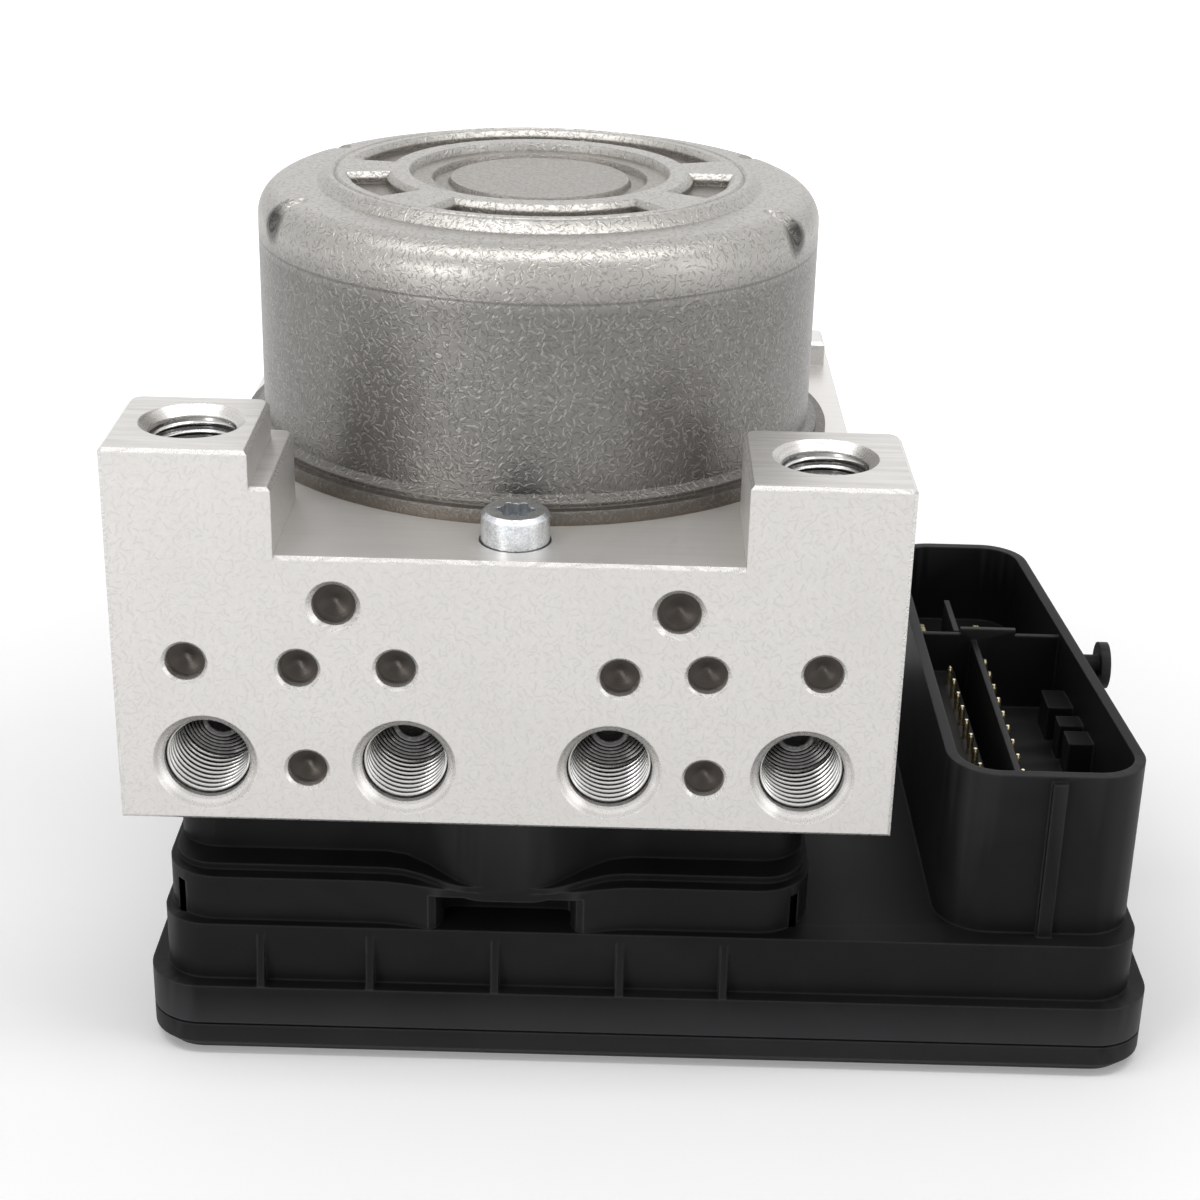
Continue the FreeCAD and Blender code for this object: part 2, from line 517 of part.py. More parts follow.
def bind(item, path, value):
    """Ties one property to its sheet formula."""
    item.setExpression(path, as_size(value).formula)


def place(item, x=0, y=0, z=0, turn=UP):
    spot = [as_size(value) for value in (x, y, z)]
    item.Placement = Placement(Vector(*[value.number for value in spot]), turn)
    for axis, value in zip("xyz", spot):
        bind(item, f"Placement.Base.{axis}", value)
    return item


def unique(name):
    unique.count = getattr(unique, "count", 0) + 1
    return f"{name}_{unique.count}"


def cylinder(radius, height, x=0, y=0, z=0, turn=UP, name="Rod"):
    item = doc.addObject("Part::Cylinder", unique(name))
    bind(item, "Radius", radius)
    bind(item, "Height", height)
    return place(item, x, y, z, turn)


def cone(radius_1, radius_2, height, x=0, y=0, z=0, turn=UP, name="Bevel"):
    item = doc.addObject("Part::Cone", unique(name))
    bind(item, "Radius1", radius_1)
    bind(item, "Radius2", radius_2)
    bind(item, "Height", height)
    return place(item, x, y, z, turn)


def box(length, width, height, x=0, y=0, z=0, name="Bar"):
    """A bar whose lowest corner is at x, y, z."""
    item = doc.addObject("Part::Box", unique(name))
    bind(item, "Length", length)
    bind(item, "Width", width)
    bind(item, "Height", height)
    return place(item, x, y, z)


def centred_box(length, width, height, x, y, z, name="Bar"):
    """A bar whose footprint is centred on x, y and which stands on z."""
    return box(length, width, height, x - as_size(length) / 2, y - as_size(width) / 2, z, name)


def sphere(radius, x, y, z):
    item = doc.addObject("Part::Sphere", unique("Ball"))
    bind(item, "Radius", radius)
    return place(item, x, y, z)


def fused(parts, name="Joined"):
    item = doc.addObject("Part::MultiFuse", unique(name))
    item.Shapes = parts
    return item


def cut(base, tools, name="Cut"):
    item = doc.addObject("Part::Cut", unique(name))
    item.Base = base
    item.Tool = tools[0] if len(tools) == 1 else fused(tools, name + "Tools")
    return item


def together(parts, name="Set"):
    """Several separate solids that share one node."""
    item = doc.addObject("Part::Compound", unique(name))
    item.Links = parts
    return item


def tube(outer, inner, height, x=0, y=0, z=0, turn=UP, name="Tube"):
    wall = cylinder(outer, height, x, y, z, turn, name)
    bore = cylinder(inner, height, x, y, z, turn, name)
    return cut(wall, [bore], name)


def node(item, name):
    """Names a finished sub-part."""
    item.Label = name
    nodes.append(item)
    return item


def new_body(name):
    return doc.addObject("PartDesign::Body", name)


def sketch_on(body, role, offset=0):
    """A sketch on one of the body's own origin planes, moved along the plane's normal."""
    plane = next(item for item in body.Origin.OriginFeatures if item.Role == role)
    sketch = body.newObject("Sketcher::SketchObject", unique("Outline"))
    sketch.AttachmentSupport = (plane, [""])
    sketch.MapMode = "FlatFace"
    offset = as_size(offset)
    sketch.AttachmentOffset = Placement(Vector(0, 0, offset.number), UP)
    bind(sketch, "AttachmentOffset.Base.z", offset)
    return sketch


def pin_point(sketch, item, end, x, y):
    """Holds one point of a sketch at x, y."""
    for kind, axis, value in (("DistanceX", -2, as_size(x)), ("DistanceY", -1, as_size(y))):
        if value.number == 0:
            sketch.addConstraint(Sketcher.Constraint("PointOnObject", item, end, axis))
            continue
        index = sketch.addConstraint(Sketcher.Constraint(kind, -1, 1, item, end, value.number))
        bind(sketch, f"Constraints[{index}]", value)


def draw_circle(sketch, radius, x=0, y=0):
    radius, x, y = as_size(radius), as_size(x), as_size(y)
    centre = Vector(x.number, y.number, 0)
    item = sketch.addGeometry(Part.Circle(centre, Vector(0, 0, 1), radius.number), False)
    index = sketch.addConstraint(Sketcher.Constraint("Radius", item, radius.number))
    bind(sketch, f"Constraints[{index}]", radius)
    pin_point(sketch, item, 3, x, y)


def draw_polygon(sketch, corners):
    """A closed outline. A corner is (x, y) or (x, y, radius)."""
    count = len(corners)
    spots = [Vector(as_size(c[0]).number, as_size(c[1]).number, 0) for c in corners]
    radii = [as_size(c[2]) if len(c) > 2 else None for c in corners]
    starts, ends = [], []
    for i in range(count):
        back = (spots[i - 1] - spots[i]).normalize()
        ahead = (spots[(i + 1) % count] - spots[i]).normalize()
        setback = 0.0
        if radii[i]:
            half = back.getAngle(ahead) / 2
            setback = radii[i].number / math.tan(half)
        ends.append(spots[i] + back * setback)
        starts.append(spots[i] + ahead * setback)
    lines = []
    for i in range(count):
        edge = Part.LineSegment(starts[i], ends[(i + 1) % count])
        lines.append(sketch.addGeometry(edge, False))
    for i in range(count):
        before, after = lines[i - 1], lines[i]
        if not radii[i]:
            sketch.addConstraint(Sketcher.Constraint("Coincident", before, 2, after, 1))
            pin_point(sketch, after, 1, corners[i][0], corners[i][1])
            continue
        arc = sketch.addGeometry(corner_arc(spots[i], ends[i], starts[i], radii[i].number), False)
        mark = sketch.addGeometry(Part.Point(spots[i]), True)
        pin_point(sketch, mark, 1, corners[i][0], corners[i][1])
        sketch.addConstraint(Sketcher.Constraint("PointOnObject", mark, 1, before))
        sketch.addConstraint(Sketcher.Constraint("PointOnObject", mark, 1, after))
        first, last = arc_ends(sketch, arc, ends[i])
        sketch.addConstraint(Sketcher.Constraint("Tangent", before, 2, arc, first))
        sketch.addConstraint(Sketcher.Constraint("Tangent", arc, last, after, 1))
        index = sketch.addConstraint(Sketcher.Constraint("Radius", arc, radii[i].number))
        bind(sketch, f"Constraints[{index}]", radii[i])


def corner_arc(corner, start, end, radius):
    """The arc that rounds a corner between two tangent points."""
    inward = ((start + end) * 0.5 - corner).normalize()
    reach = math.hypot(radius, (start - corner).Length)
    middle = corner + inward * (reach - radius)
    return Part.Arc(start, middle, end)


def arc_ends(sketch, arc, start):
    """Which end of a stored arc lies at start: the sketch may have turned it round."""
    stored = sketch.Geometry[arc]
    if (stored.StartPoint - start).Length < (stored.EndPoint - start).Length:
        return 1, 2
    return 2, 1


def rectangle(left, right, front, back, radius=None):
    corners = [(left, front), (right, front), (right, back), (left, back)]
    return [corner + (radius,) for corner in corners] if radius is not None else corners


def pad(body, sketch, length, reverse=False):
    feature = body.newObject("PartDesign::Pad", unique("Pad"))
    feature.Profile = sketch
    feature.Reversed = reverse
    bind(feature, "Length", length)
    return feature


def pocket(body, sketch, length, reverse=False):
    feature = body.newObject("PartDesign::Pocket", unique("Pocket"))
    feature.Profile = sketch
    feature.Reversed = reverse
    bind(feature, "Length", length)
    return feature


def slab(body, outline, bottom, height):
    """Pads an outline upwards from a level."""
    sketch = sketch_on(body, "XY_Plane", bottom)
    draw_polygon(sketch, outline)
    return pad(body, sketch, height)


def hollow(body, outline, bottom, height):
    """Pockets an outline upwards from a level."""
    sketch = sketch_on(body, "XY_Plane", bottom)
    draw_polygon(sketch, outline)
    return pocket(body, sketch, height, reverse=True)


def bores(body, places, radius, bottom, height):
    """Round holes upwards from a level."""
    sketch = sketch_on(body, "XY_Plane", bottom)
    for x, y in places:
        draw_circle(sketch, radius, x, y)
    return pocket(body, sketch, height, reverse=True)


def revolve(body, outline):
    """Turns an outline of (radius, height) corners round the body's Z axis."""
    sketch = sketch_on(body, "XZ_Plane")
    draw_polygon(sketch, outline)
    feature = body.newObject("PartDesign::Revolution", unique("Turned"))
    feature.Profile = sketch
    feature.ReferenceAxis = (sketch, ["V_Axis"])
    feature.Angle = 360
    return feature


def edges_where(shape, test):
    return [f"Edge{index + 1}" for index, edge in enumerate(shape.Edges) if test(edge)]


def bevel_edges(body, feature, test, width):
    doc.recompute()
    edges = edges_where(feature.Shape, test)
    bevel = body.newObject("PartDesign::Chamfer", unique("Bevel"))
    bevel.Base = (feature, edges)
    bind(bevel, "Size", width)
    return bevel


def round_edges(body, feature, test, radius):
    doc.recompute()
    edges = edges_where(feature.Shape, test)
    rounding = body.newObject("PartDesign::Fillet", unique("Rounding"))
    rounding.Base = (feature, edges)
    bind(rounding, "Radius", radius)
    return rounding


def turned_profile(outline):
    """A sketch of (radius, height) corners that several turned solids can share."""
    sketch = doc.addObject("Sketcher::SketchObject", unique("Section"))
    sketch.Placement = Placement(Vector(), Rotation(Vector(1, 0, 0), 90))
    draw_polygon(sketch, outline)
    return sketch


def turned(sketch, x=0, y=0, z=0, turn=UP):
    item = doc.addObject("Part::Revolution", unique("Turned"))
    item.Source = sketch
    item.Axis = Vector(0, 0, 1)
    item.Angle = 360
    item.Solid = True
    return place(item, x, y, z, turn)


def copy_of(item, x=0, y=0, z=0, turn=UP):
    """A linked copy of a solid in another place."""
    link = doc.addObject("App::Link", unique("Copy"))
    link.LinkedObject = item
    link.LinkTransform = True
    return place(link, x, y, z, turn)


def spring(radius, wire, height, turns, x=0, y=0, z=0, turn=UP):
    """A coil spring with square wire, standing on x, y, z."""
    helix = doc.addObject("Part::Helix", unique("Helix"))
    bind(helix, "Radius", radius)
    bind(helix, "Height", as_size(height) - wire)
    bind(helix, "Pitch", (as_size(height) - wire) / turns)
    section = doc.addObject("Sketcher::SketchObject", unique("Wire"))
    section.Placement = Placement(Vector(), Rotation(Vector(1, 0, 0), 90))
    half = as_size(wire) / 2
    draw_polygon(section, rectangle(as_size(radius) - half, as_size(radius) + half, -half, half))
    coil = doc.addObject("Part::Sweep", unique("Coil"))
    coil.Sections = [section]
    coil.Spine = (helix, ["Edge1"])
    coil.Solid = True
    coil.Frenet = True
    lifted = doc.addObject("App::Link", unique("Copy"))
    lifted.LinkedObject = coil
    spot = Vector(*[as_size(v).number for v in (x, y, z)]) + turn.multVec(Vector(0, 0, half.number))
    lifted.Placement = Placement(spot, turn)
    axis = turn.multVec(Vector(0, 0, 1))
    for name, value, way in zip("xyz", (x, y, z), axis):
        bind(lifted, f"Placement.Base.{name}", as_size(value) + half * float(round(way)))
    return lifted


def make_valve_block():
    body = new_body("ValveBlock")
    boss_back_left = front_face + left_boss_depth
    boss_back_right = front_face + right_boss_depth
    slab(body, [
        (left_face, front_face), (right_face, front_face),
        (right_face, boss_back_right, boss_corner), (side_right, boss_back_right),
        (side_right, rear_face), (side_left, rear_face),
        (side_left, boss_back_left), (left_face, boss_back_left, boss_corner),
    ], block_bottom, block_height)
    boss_right = left_face + left_boss_width
    slab(body, [
        (left_face, front_face), (boss_right + step_width, front_face),
        (boss_right + step_width, front_face + step_depth, boss_corner),
        (side_left, front_face + step_depth), (side_left, boss_back_left),
        (left_face, boss_back_left, boss_corner),
    ], ledge, step_rise)
    slab(body, [
        (left_face, front_face), (boss_right, front_face),
        (boss_right, boss_back_left, boss_corner), (left_face, boss_back_left, boss_corner),
    ], ledge, left_boss_rise)
    slab(body, [
        (right_face - right_boss_width, front_face), (right_face, front_face),
        (right_face, boss_back_right, boss_corner),
        (right_face - right_boss_width, boss_back_right, boss_corner),
    ], ledge, right_boss_rise)
    lug_right = side_right - lug_margin
    last = slab(body, rectangle(lug_right - lug_width, lug_right, lug_y - lug_depth / 2,
                                lug_y + lug_depth / 2), ledge, lug_rise)

    front = front_face.number
    step_top = (ledge + step_rise).number
    tops = [(ledge + rise).number for rise in (left_boss_rise, right_boss_rise, lug_rise)] + [step_top]

    def outer(edge):
        box = edge.BoundBox
        flat_top = any(abs(box.ZMin - top) < 0.01 and abs(box.ZMax - top) < 0.01 for top in tops)
        buried = abs(box.ZMax - step_top) < 0.01 and box.XMax < boss_right.number + 0.01
        on_front = abs(box.YMin - front) < 0.01 and abs(box.YMax - front) < 0.01
        bottom_front = on_front and abs(box.ZMax - block_bottom.number) < 0.01
        ledge_front = on_front and abs(box.ZMin - ledge.number) < 0.01 and box.ZLength < 0.01
        upright = on_front and box.ZLength > block_height.number - 0.01
        return (flat_top and not (buried and box.YMax > front + 0.01)) or bottom_front or ledge_front or upright

    bevel_edges(body, last, outer, block_chamfer)

    # Front ports, their channels and the holes for the channel plugs
    face = sketch_on(body, "XZ_Plane", -front_face)
    level = block_bottom + front_port_level
    for x in front_ports:
        draw_circle(face, port_radius, x, level)
    ports = pocket(body, face, port_depth)
    body.Tip = ports
    mouths = bevel_edges(body, ports, lambda edge: ring_at(edge, port_radius, "y", front_face),
                         port_mouth - port_radius)
    face = sketch_on(body, "XZ_Plane", -front_face)
    for x in front_ports:
        draw_circle(face, port_channel, x, level)
    pocket(body, face, port_depth + port_channel_depth)
    for radius, mouth, places in ((plug_radius, plug_mouth, small_plugs),
                                  (large_plug_radius, large_plug_mouth, large_plugs)):
        hole = radius + plug_clearance
        face = sketch_on(body, "XZ_Plane", -front_face)
        for x, z in places:
            draw_circle(face, hole, left_face + x, block_bottom + z)
        holes = pocket(body, face, plug_hole_depth)
        bevel_edges(body, holes, lambda edge, hole=hole: ring_at(edge, hole, "y", front_face),
                    mouth - hole)

    # Ports in the two bosses
    for x, y, rise in ((left_face + left_port_x, front_face + left_port_y, left_boss_rise),
                       (right_face - right_port_x, front_face + right_port_y, right_boss_rise)):
        top = ledge + rise
        face = sketch_on(body, "XY_Plane", top)
        draw_circle(face, port_radius, x, y)
        port = pocket(body, face, top_port_depth)
        bevel_edges(body, port, lambda edge, top=top: ring_at(edge, port_radius, "z", top),
                    port_mouth - port_radius)
        face = sketch_on(body, "XY_Plane", top)
        draw_circle(face, port_channel, x, y)
        pocket(body, face, top_port_depth + port_channel_depth)

    # Chamber of the eccentric, the pump bore across the block and the motor's stalk
    bores(body, [(0, 0)], chamber_radius, ledge - chamber_depth, chamber_depth)
    side = sketch_on(body, "YZ_Plane", side_right)
    draw_circle(side, pump_bore, 0, block_bottom + pump_level)
    pocket(body, side, side_right - side_left)
    bores(body, [(-contact_x, -contact_y)], stalk_hole, block_bottom, block_height)

    # Valve seats from below, accumulators from behind, bolt holes and the sensor
    places = [(x, y) for y in valve_rows.values() for x in valve_columns]
    bores(body, places, valve_radius, block_bottom, valve_seat_depth)
    bores(body, [(block_middle, sensor_y)], sensor_radius, block_bottom, sensor_depth)
    bores(body, bolt_places, bolt_hole, block_bottom, block_height)
    bores(body, bolt_places, counterbore_radius, ledge - counterbore_depth, counterbore_depth)
    back = sketch_on(body, "XZ_Plane", -rear_face)
    for x in store_columns:
        draw_circle(back, store_radius, x, block_bottom + store_level)
    pocket(body, back, store_depth, reverse=True)

    # Threaded holes for the rubber mounts of the bracket
    level = block_bottom + bracket_level
    for side, inward, ys in ((side_left, True, (bracket_y, -bracket_y)),
                             (side_right, False, (bracket_y,))):
        for radius, depth in ((bracket_drill, bracket_drill_depth), (bracket_radius, bracket_depth)):
            face = sketch_on(body, "YZ_Plane", side)
            for y in ys:
                draw_circle(face, radius, y, level)
            last = pocket(body, face, depth, reverse=inward)
        bevel_edges(body, last, lambda edge, side=side: ring_at(edge, bracket_radius, "x", side),
                    bracket_mouth)
    node(body, "valve_block")


def ring_at(edge, radius, axis, level):
    """True for a round edge of this radius that lies in the plane axis = level."""
    if not isinstance(edge.Curve, Part.Circle):
        return False
    flat = abs(getattr(edge.Curve.Center, axis) - as_size(level).number) < 0.01
    return flat and abs(edge.Curve.Radius - as_size(radius).number) < 0.01


def make_plugs():
    for name, radius, length, places in (
            ("channel_plugs", plug_radius, plug_length, small_plugs),
            ("large_channel_plugs", large_plug_radius, large_plug_length, large_plugs)):
        profile = turned_profile([(0, 0), (radius, 0), (radius, length), (radius * 0.8, length),
                                  (0, length - plug_cone)])
        plugs = [turned(profile, left_face + x, front_face + plug_recess + length,
                        block_bottom + z, FRONT) for x, z in places]
        node(together(plugs), name)


def six_lobe(radius, depth, z):
    """The cutter for a six-lobe socket, upwards from z."""
    lobe = radius * 0.28
    lobes = []
    for step in range(6):
        reach = radius * 0.82
        lobes.append(cylinder(lobe, depth, reach * cosine(60 * step), reach * sine(60 * step), z))
    return fused([cylinder(radius * 0.86, depth, 0, 0, z)] + lobes, "SixLobe")


def make_bolts():
    """Bolts through the block into brass inserts in the control unit's housing."""
    seat = ledge - counterbore_depth
    insert_top = block_bottom - insert_drop
    shank = seat - insert_top + insert_length - 1
    bevel = bolt_head_bevel
    profile = turned_profile([
        (0, -shank), (bolt_radius - bevel, -shank), (bolt_radius, bevel - shank), (bolt_radius, 0),
        (bolt_head_radius, 0), (bolt_head_radius, bolt_head_height - bevel),
        (bolt_head_radius - bevel, bolt_head_height), (0, bolt_head_height),
    ])
    socket = six_lobe(bolt_socket, bolt_socket_depth, bolt_head_height - bolt_socket_depth)
    bolt = cut(turned(profile), [socket], "Bolt")
    node(together([copy_of(bolt, x, y, seat) for x, y in bolt_places]), "through_bolts")
    inserts = [tube(insert_radius, bolt_radius + thread_clearance, insert_length, x, y,
                    insert_top - insert_length) for x, y in bolt_places]
    node(together(inserts), "threaded_inserts")


def can_profile():
    """The sheet of the can: its outside from the foot to the middle, then back inside."""
    foot = ledge
    roof = shoulder_level
    top = platform_level
    inner = can_radius - can_wall
    sheet_top = top - pocket_depth - can_wall
    cup = top_bearing_radius + bearing_cup
    return [
        (inner, foot), (can_flange_radius, foot), (can_flange_radius, foot + can_flange_height),
        (can_lip_radius, foot + can_flange_height),
        (can_lip_radius, foot + can_flange_height + can_lip_height),
        (can_radius, foot + can_flange_height + can_lip_height * 2),
        (can_radius, roof, can_shoulder), (platform_radius, roof),
        (platform_radius - platform_slope, top, platform_round),
        (line_radius + line_width, top), (line_radius, top - line_width), (line_radius - line_width, top),
        (dish_radius, top), (dish_radius - dish_depth / 2, top - dish_depth),
        (disc_groove_radius + disc_groove_depth / 2, top - dish_depth),
        (disc_groove_radius, top - dish_depth - disc_groove_depth),
        (disc_radius, top - dish_depth - disc_groove_depth),
        (disc_radius - disc_groove_depth / 2, top - dish_depth),
        (0, top - dish_depth), (0, sheet_top), (top_bearing_radius, sheet_top),
        (top_bearing_radius, sheet_top - top_bearing_height),
        (cup, sheet_top - top_bearing_height), (cup, sheet_top),
        (inner - can_wall, sheet_top), (inner, sheet_top - can_wall),
    ]


def make_motor_can():
    body = new_body("MotorCan")
    last = revolve(body, can_profile())
    body.Tip = last
    doc.recompute()

    # Four arc pockets with sloped edges, parted by bridges
    face = sketch_on(body, "XY_Plane", platform_level)
    for start, end in pocket_arcs:
        draw_arc_slot(face, pocket_inner, pocket_outer, start, end)
    pockets = pocket(body, face, pocket_depth)
    top, inside = platform_level.number, pocket_outer.number + 0.1
    outside = pocket_inner.number - 0.1

    def rim(edge):
        box = edge.BoundBox
        flat = abs(box.ZMin - top) < 0.01 and abs(box.ZMax - top) < 0.01
        reach = [math.hypot(v.Point.x, v.Point.y) for v in edge.Vertexes]
        return flat and len(reach) == 2 and outside < min(reach) and max(reach) < inside

    body.Tip = bevel_edges(body, pockets, rim, pocket_bevel)

    # Crimps that slope down through the shoulder
    tilt = math.radians(crimp_slope.number)
    fall = math.tan(tilt)
    crimps = []
    for angle in crimp_angles:
        way = Vector(math.cos(math.radians(angle)) * math.cos(tilt),
                     math.sin(math.radians(angle)) * math.cos(tilt), -math.sin(tilt))
        level = (shoulder_level - crimp_depth + crimp_radius / cosine(crimp_slope.number)
                 + (can_radius - crimp_start) * fall)
        crimps.append(cylinder(crimp_radius, crimp_length, crimp_start * cosine(angle),
                               crimp_start * sine(angle), level, Rotation(Vector(0, 0, 1), way)))
    node(cut(body, crimps), "motor_can")


def draw_arc_slot(sketch, inner, outer, start, end):
    """A closed ring sector between two angles."""
    a, b = math.radians(start), math.radians(end)
    centre, up = Vector(0, 0, 0), Vector(0, 0, 1)
    items = []
    for radius in (inner, outer):
        whole = Part.Circle(centre, up, radius.number)
        items.append(sketch.addGeometry(Part.ArcOfCircle(whole, a, b), False))
    corners = [Vector(r.number * math.cos(t), r.number * math.sin(t), 0)
               for r in (inner, outer) for t in (a, b)]
    first = sketch.addGeometry(Part.LineSegment(corners[0], corners[2]), False)
    second = sketch.addGeometry(Part.LineSegment(corners[1], corners[3]), False)
    for item, radius in zip(items, (inner, outer)):
        sketch.addConstraint(Sketcher.Constraint("Coincident", item, 3, -1, 1))
        index = sketch.addConstraint(Sketcher.Constraint("Radius", item, radius.number))
        bind(sketch, f"Constraints[{index}]", radius)
    for line, end_point, angle in ((first, 1, start), (second, 2, end)):
        sketch.addConstraint(Sketcher.Constraint("Coincident", line, 1, items[0], end_point))
        sketch.addConstraint(Sketcher.Constraint("Coincident", line, 2, items[1], end_point))
        sketch.addConstraint(Sketcher.Constraint("PointOnObject", -1, 1, line))
        turn = math.radians((angle + 180) % 360 - 180)
        sketch.addConstraint(Sketcher.Constraint("Angle", line, turn))


def make_motor_inside():
    plate_top = ledge + end_plate_height
    plate_radius = can_radius - can_wall - end_plate_clearance
    collar = bearing_radius + bearing_collar
    profile = turned_profile([
        (shaft_radius + 1, ledge), (bearing_radius, ledge),
        (bearing_radius, ledge - bearing_height), (collar, ledge - bearing_height), (collar, ledge),
        (plate_radius, ledge), (plate_radius, plate_top), (shaft_radius + 1, plate_top),
    ])
    opening = cylinder(stalk_hole, end_plate_height, -contact_x, -contact_y, ledge)
    node(cut(turned(profile), [opening]), "motor_end_plate")

    race = bearing_radius * 0.28
    middle = (bearing_radius + shaft_radius) / 2
    seat = shaft_radius + running_clearance
    low = ledge - bearing_height
    profile = turned_profile([
        (seat, low), (middle - race / 2, low), (middle - race / 2, low + 0.6),
        (middle + race / 2, low + 0.6), (middle + race / 2, low), (bearing_radius, low),
        (bearing_radius, ledge), (middle + race / 2, ledge), (middle + race / 2, ledge - 0.6),
        (middle - race / 2, ledge - 0.6), (middle - race / 2, ledge), (seat, ledge),
    ])
    node(turned(profile), "lower_bearing")

    top = platform_level - pocket_depth - can_wall
    node(tube(top_bearing_radius, seat, top_bearing_height, 0, 0, top - top_bearing_height),
         "top_bearing")

    # Shaft with its eccentric journal
    journal_base = ledge - journal_top - journal_length
    journal = cylinder(journal_radius, journal_length, 0, eccentricity, journal_base)
    profile = turned_profile([
        (0, journal_base), (shaft_radius, journal_base), (shaft_radius, top - 1),
        (shaft_radius - 0.5, top - 0.5), (0, top - 0.5),
    ])
    node(fused([turned(profile), journal]), "motor_shaft")
    middle_level = block_bottom + pump_level
    node(tube(ring_radius, journal_radius + running_clearance, ring_height, 0, eccentricity,
              middle_level - ring_height / 2), "eccentric_ring")

    # Armature
    core_low = ledge + core_level
    body = new_body("ArmatureCore")
    face = sketch_on(body, "XY_Plane", core_low)
    draw_circle(face, core_radius)
    draw_circle(face, shaft_radius + plug_clearance)
    disc = pad(body, face, core_height)
    body.Tip = disc
    doc.recompute()
    face = sketch_on(body, "XY_Plane", core_low)
    draw_polygon(face, rectangle(core_radius - slot_depth, core_radius + 1, -slot_width / 2,
                                 slot_width / 2))
    slot = pocket(body, face, core_height, reverse=True)
    polar(body, slot, slot_count)
    node(body, "armature_core")

    coil_in, coil_out = winding_bore, core_radius - 1.4
    bar_height = core_height + winding_overhang * 2
    bar_low = core_low - winding_overhang
    ends = [tube(coil_out, coil_in, winding_overhang, 0, 0, z)
            for z in (bar_low, core_low + core_height)]
    start = core_radius - slot_depth + slot_clearance
    bar = box(coil_out - start, slot_width - slot_clearance * 2, bar_height, start,
              slot_clearance - slot_width / 2, bar_low)
    bars = [copy_of(bar, 0, 0, 0, Rotation(Vector(0, 0, 1), 360 / slot_count * step))
            for step in range(slot_count)]
    node(fused(ends + bars), "armature_windings")

    body = new_body("Commutator")
    low = ledge + commutator_level
    face = sketch_on(body, "XY_Plane", low)
    draw_circle(face, commutator_radius)
    draw_circle(face, shaft_radius + plug_clearance)
    barrel = pad(body, face, commutator_height)
    body.Tip = barrel
    doc.recompute()
    face = sketch_on(body, "XY_Plane", low)
    slit = commutator_radius * 0.05
    draw_polygon(face, rectangle(commutator_radius - slit * 2, commutator_radius + 1, -slit / 2, slit / 2))
    cutting = pocket(body, face, commutator_height, reverse=True)
    polar(body, cutting, slot_count)
    node(body, "commutator")

    # Magnet segments
    outer = can_radius - can_wall - magnet_gap
    section = turned_profile(rectangle(outer - magnet_thickness, outer, ledge + magnet_level,
                                       ledge + magnet_level + magnet_height))
    segment = doc.addObject("Part::Revolution", "Magnet")
    segment.Source = section
    segment.Axis = Vector(0, 0, 1)
    segment.Solid = True
    bind(segment, "Angle", magnet_angle)
    pieces = []
    for step in range(magnet_count):
        angle = 360 / magnet_count * step + (90 - magnet_angle.number) / 2 - 45
        pieces.append(copy_of(segment, 0, 0, 0, Rotation(Vector(0, 0, 1), angle)))
    node(together(pieces), "magnets")


def polar(body, feature, count):
    pattern = body.newObject("PartDesign::PolarPattern", unique("Round"))
    pattern.Originals = [feature]
    pattern.Axis = (feature.Profile[0], ["N_Axis"])
    pattern.Angle = 360
    pattern.Occurrences = count
    body.Tip = pattern
    return pattern


def make_brushes():
    low = ledge + end_plate_height
    top = low + holder_height
    plate = tube(holder_radius, holder_bore, holder_height, 0, 0, low)
    inner_width = brush_width + brush_gap * 2
    inner_height = brush_height + brush_gap * 2
    length = guide_end - guide_start
    walls, hollows = [], []
    for way in (1, -1):
        x = (guide_start + guide_end) / 2 * way
        walls.append(centred_box(length, inner_width + guide_wall * 2, inner_height + guide_wall,
                                 x, 0, top))
        hollows.append(centred_box(length - guide_wall, inner_width, inner_height,
                                   x - guide_wall / 2 * way, 0, top))
    stalk = cylinder(stalk_radius, stalk_length, -contact_x, -contact_y, low - stalk_length)
    pins = [-contact_x - contact_pitch / 2, contact_pitch / 2 - contact_x]
    wires = [cylinder(contact_radius + pin_clearance, stalk_length + holder_height, x, -contact_y,
                      low - stalk_length) for x in pins]
    node(cut(fused([plate, stalk] + walls), hollows + wires), "brush_holder")

    start = commutator_radius + brush_rest
    bottom = top + brush_gap
    for way, side in ((1, "right"), (-1, "left")):
        x = (start + brush_length / 2) * way
        carbon = centred_box(brush_length, brush_width, brush_height, x, 0, bottom)
        node(carbon, f"brush_{side}")
        length = guide_end - guide_wall - start - brush_length - brush_gap * 2
        coil = spring(brush_spring_radius, brush_spring_wire, length, brush_spring_turns, (start + brush_length + brush_gap) * way, 0,
                      bottom + brush_height / 2, RIGHT if way > 0 else LEFT)
        node(coil, f"brush_spring_{side}")
    lower = board_level - 0.8
    contacts = [cylinder(contact_radius, top - lower, x, -contact_y, lower) for x in pins]
    node(together(contacts), "motor_contact_pins")


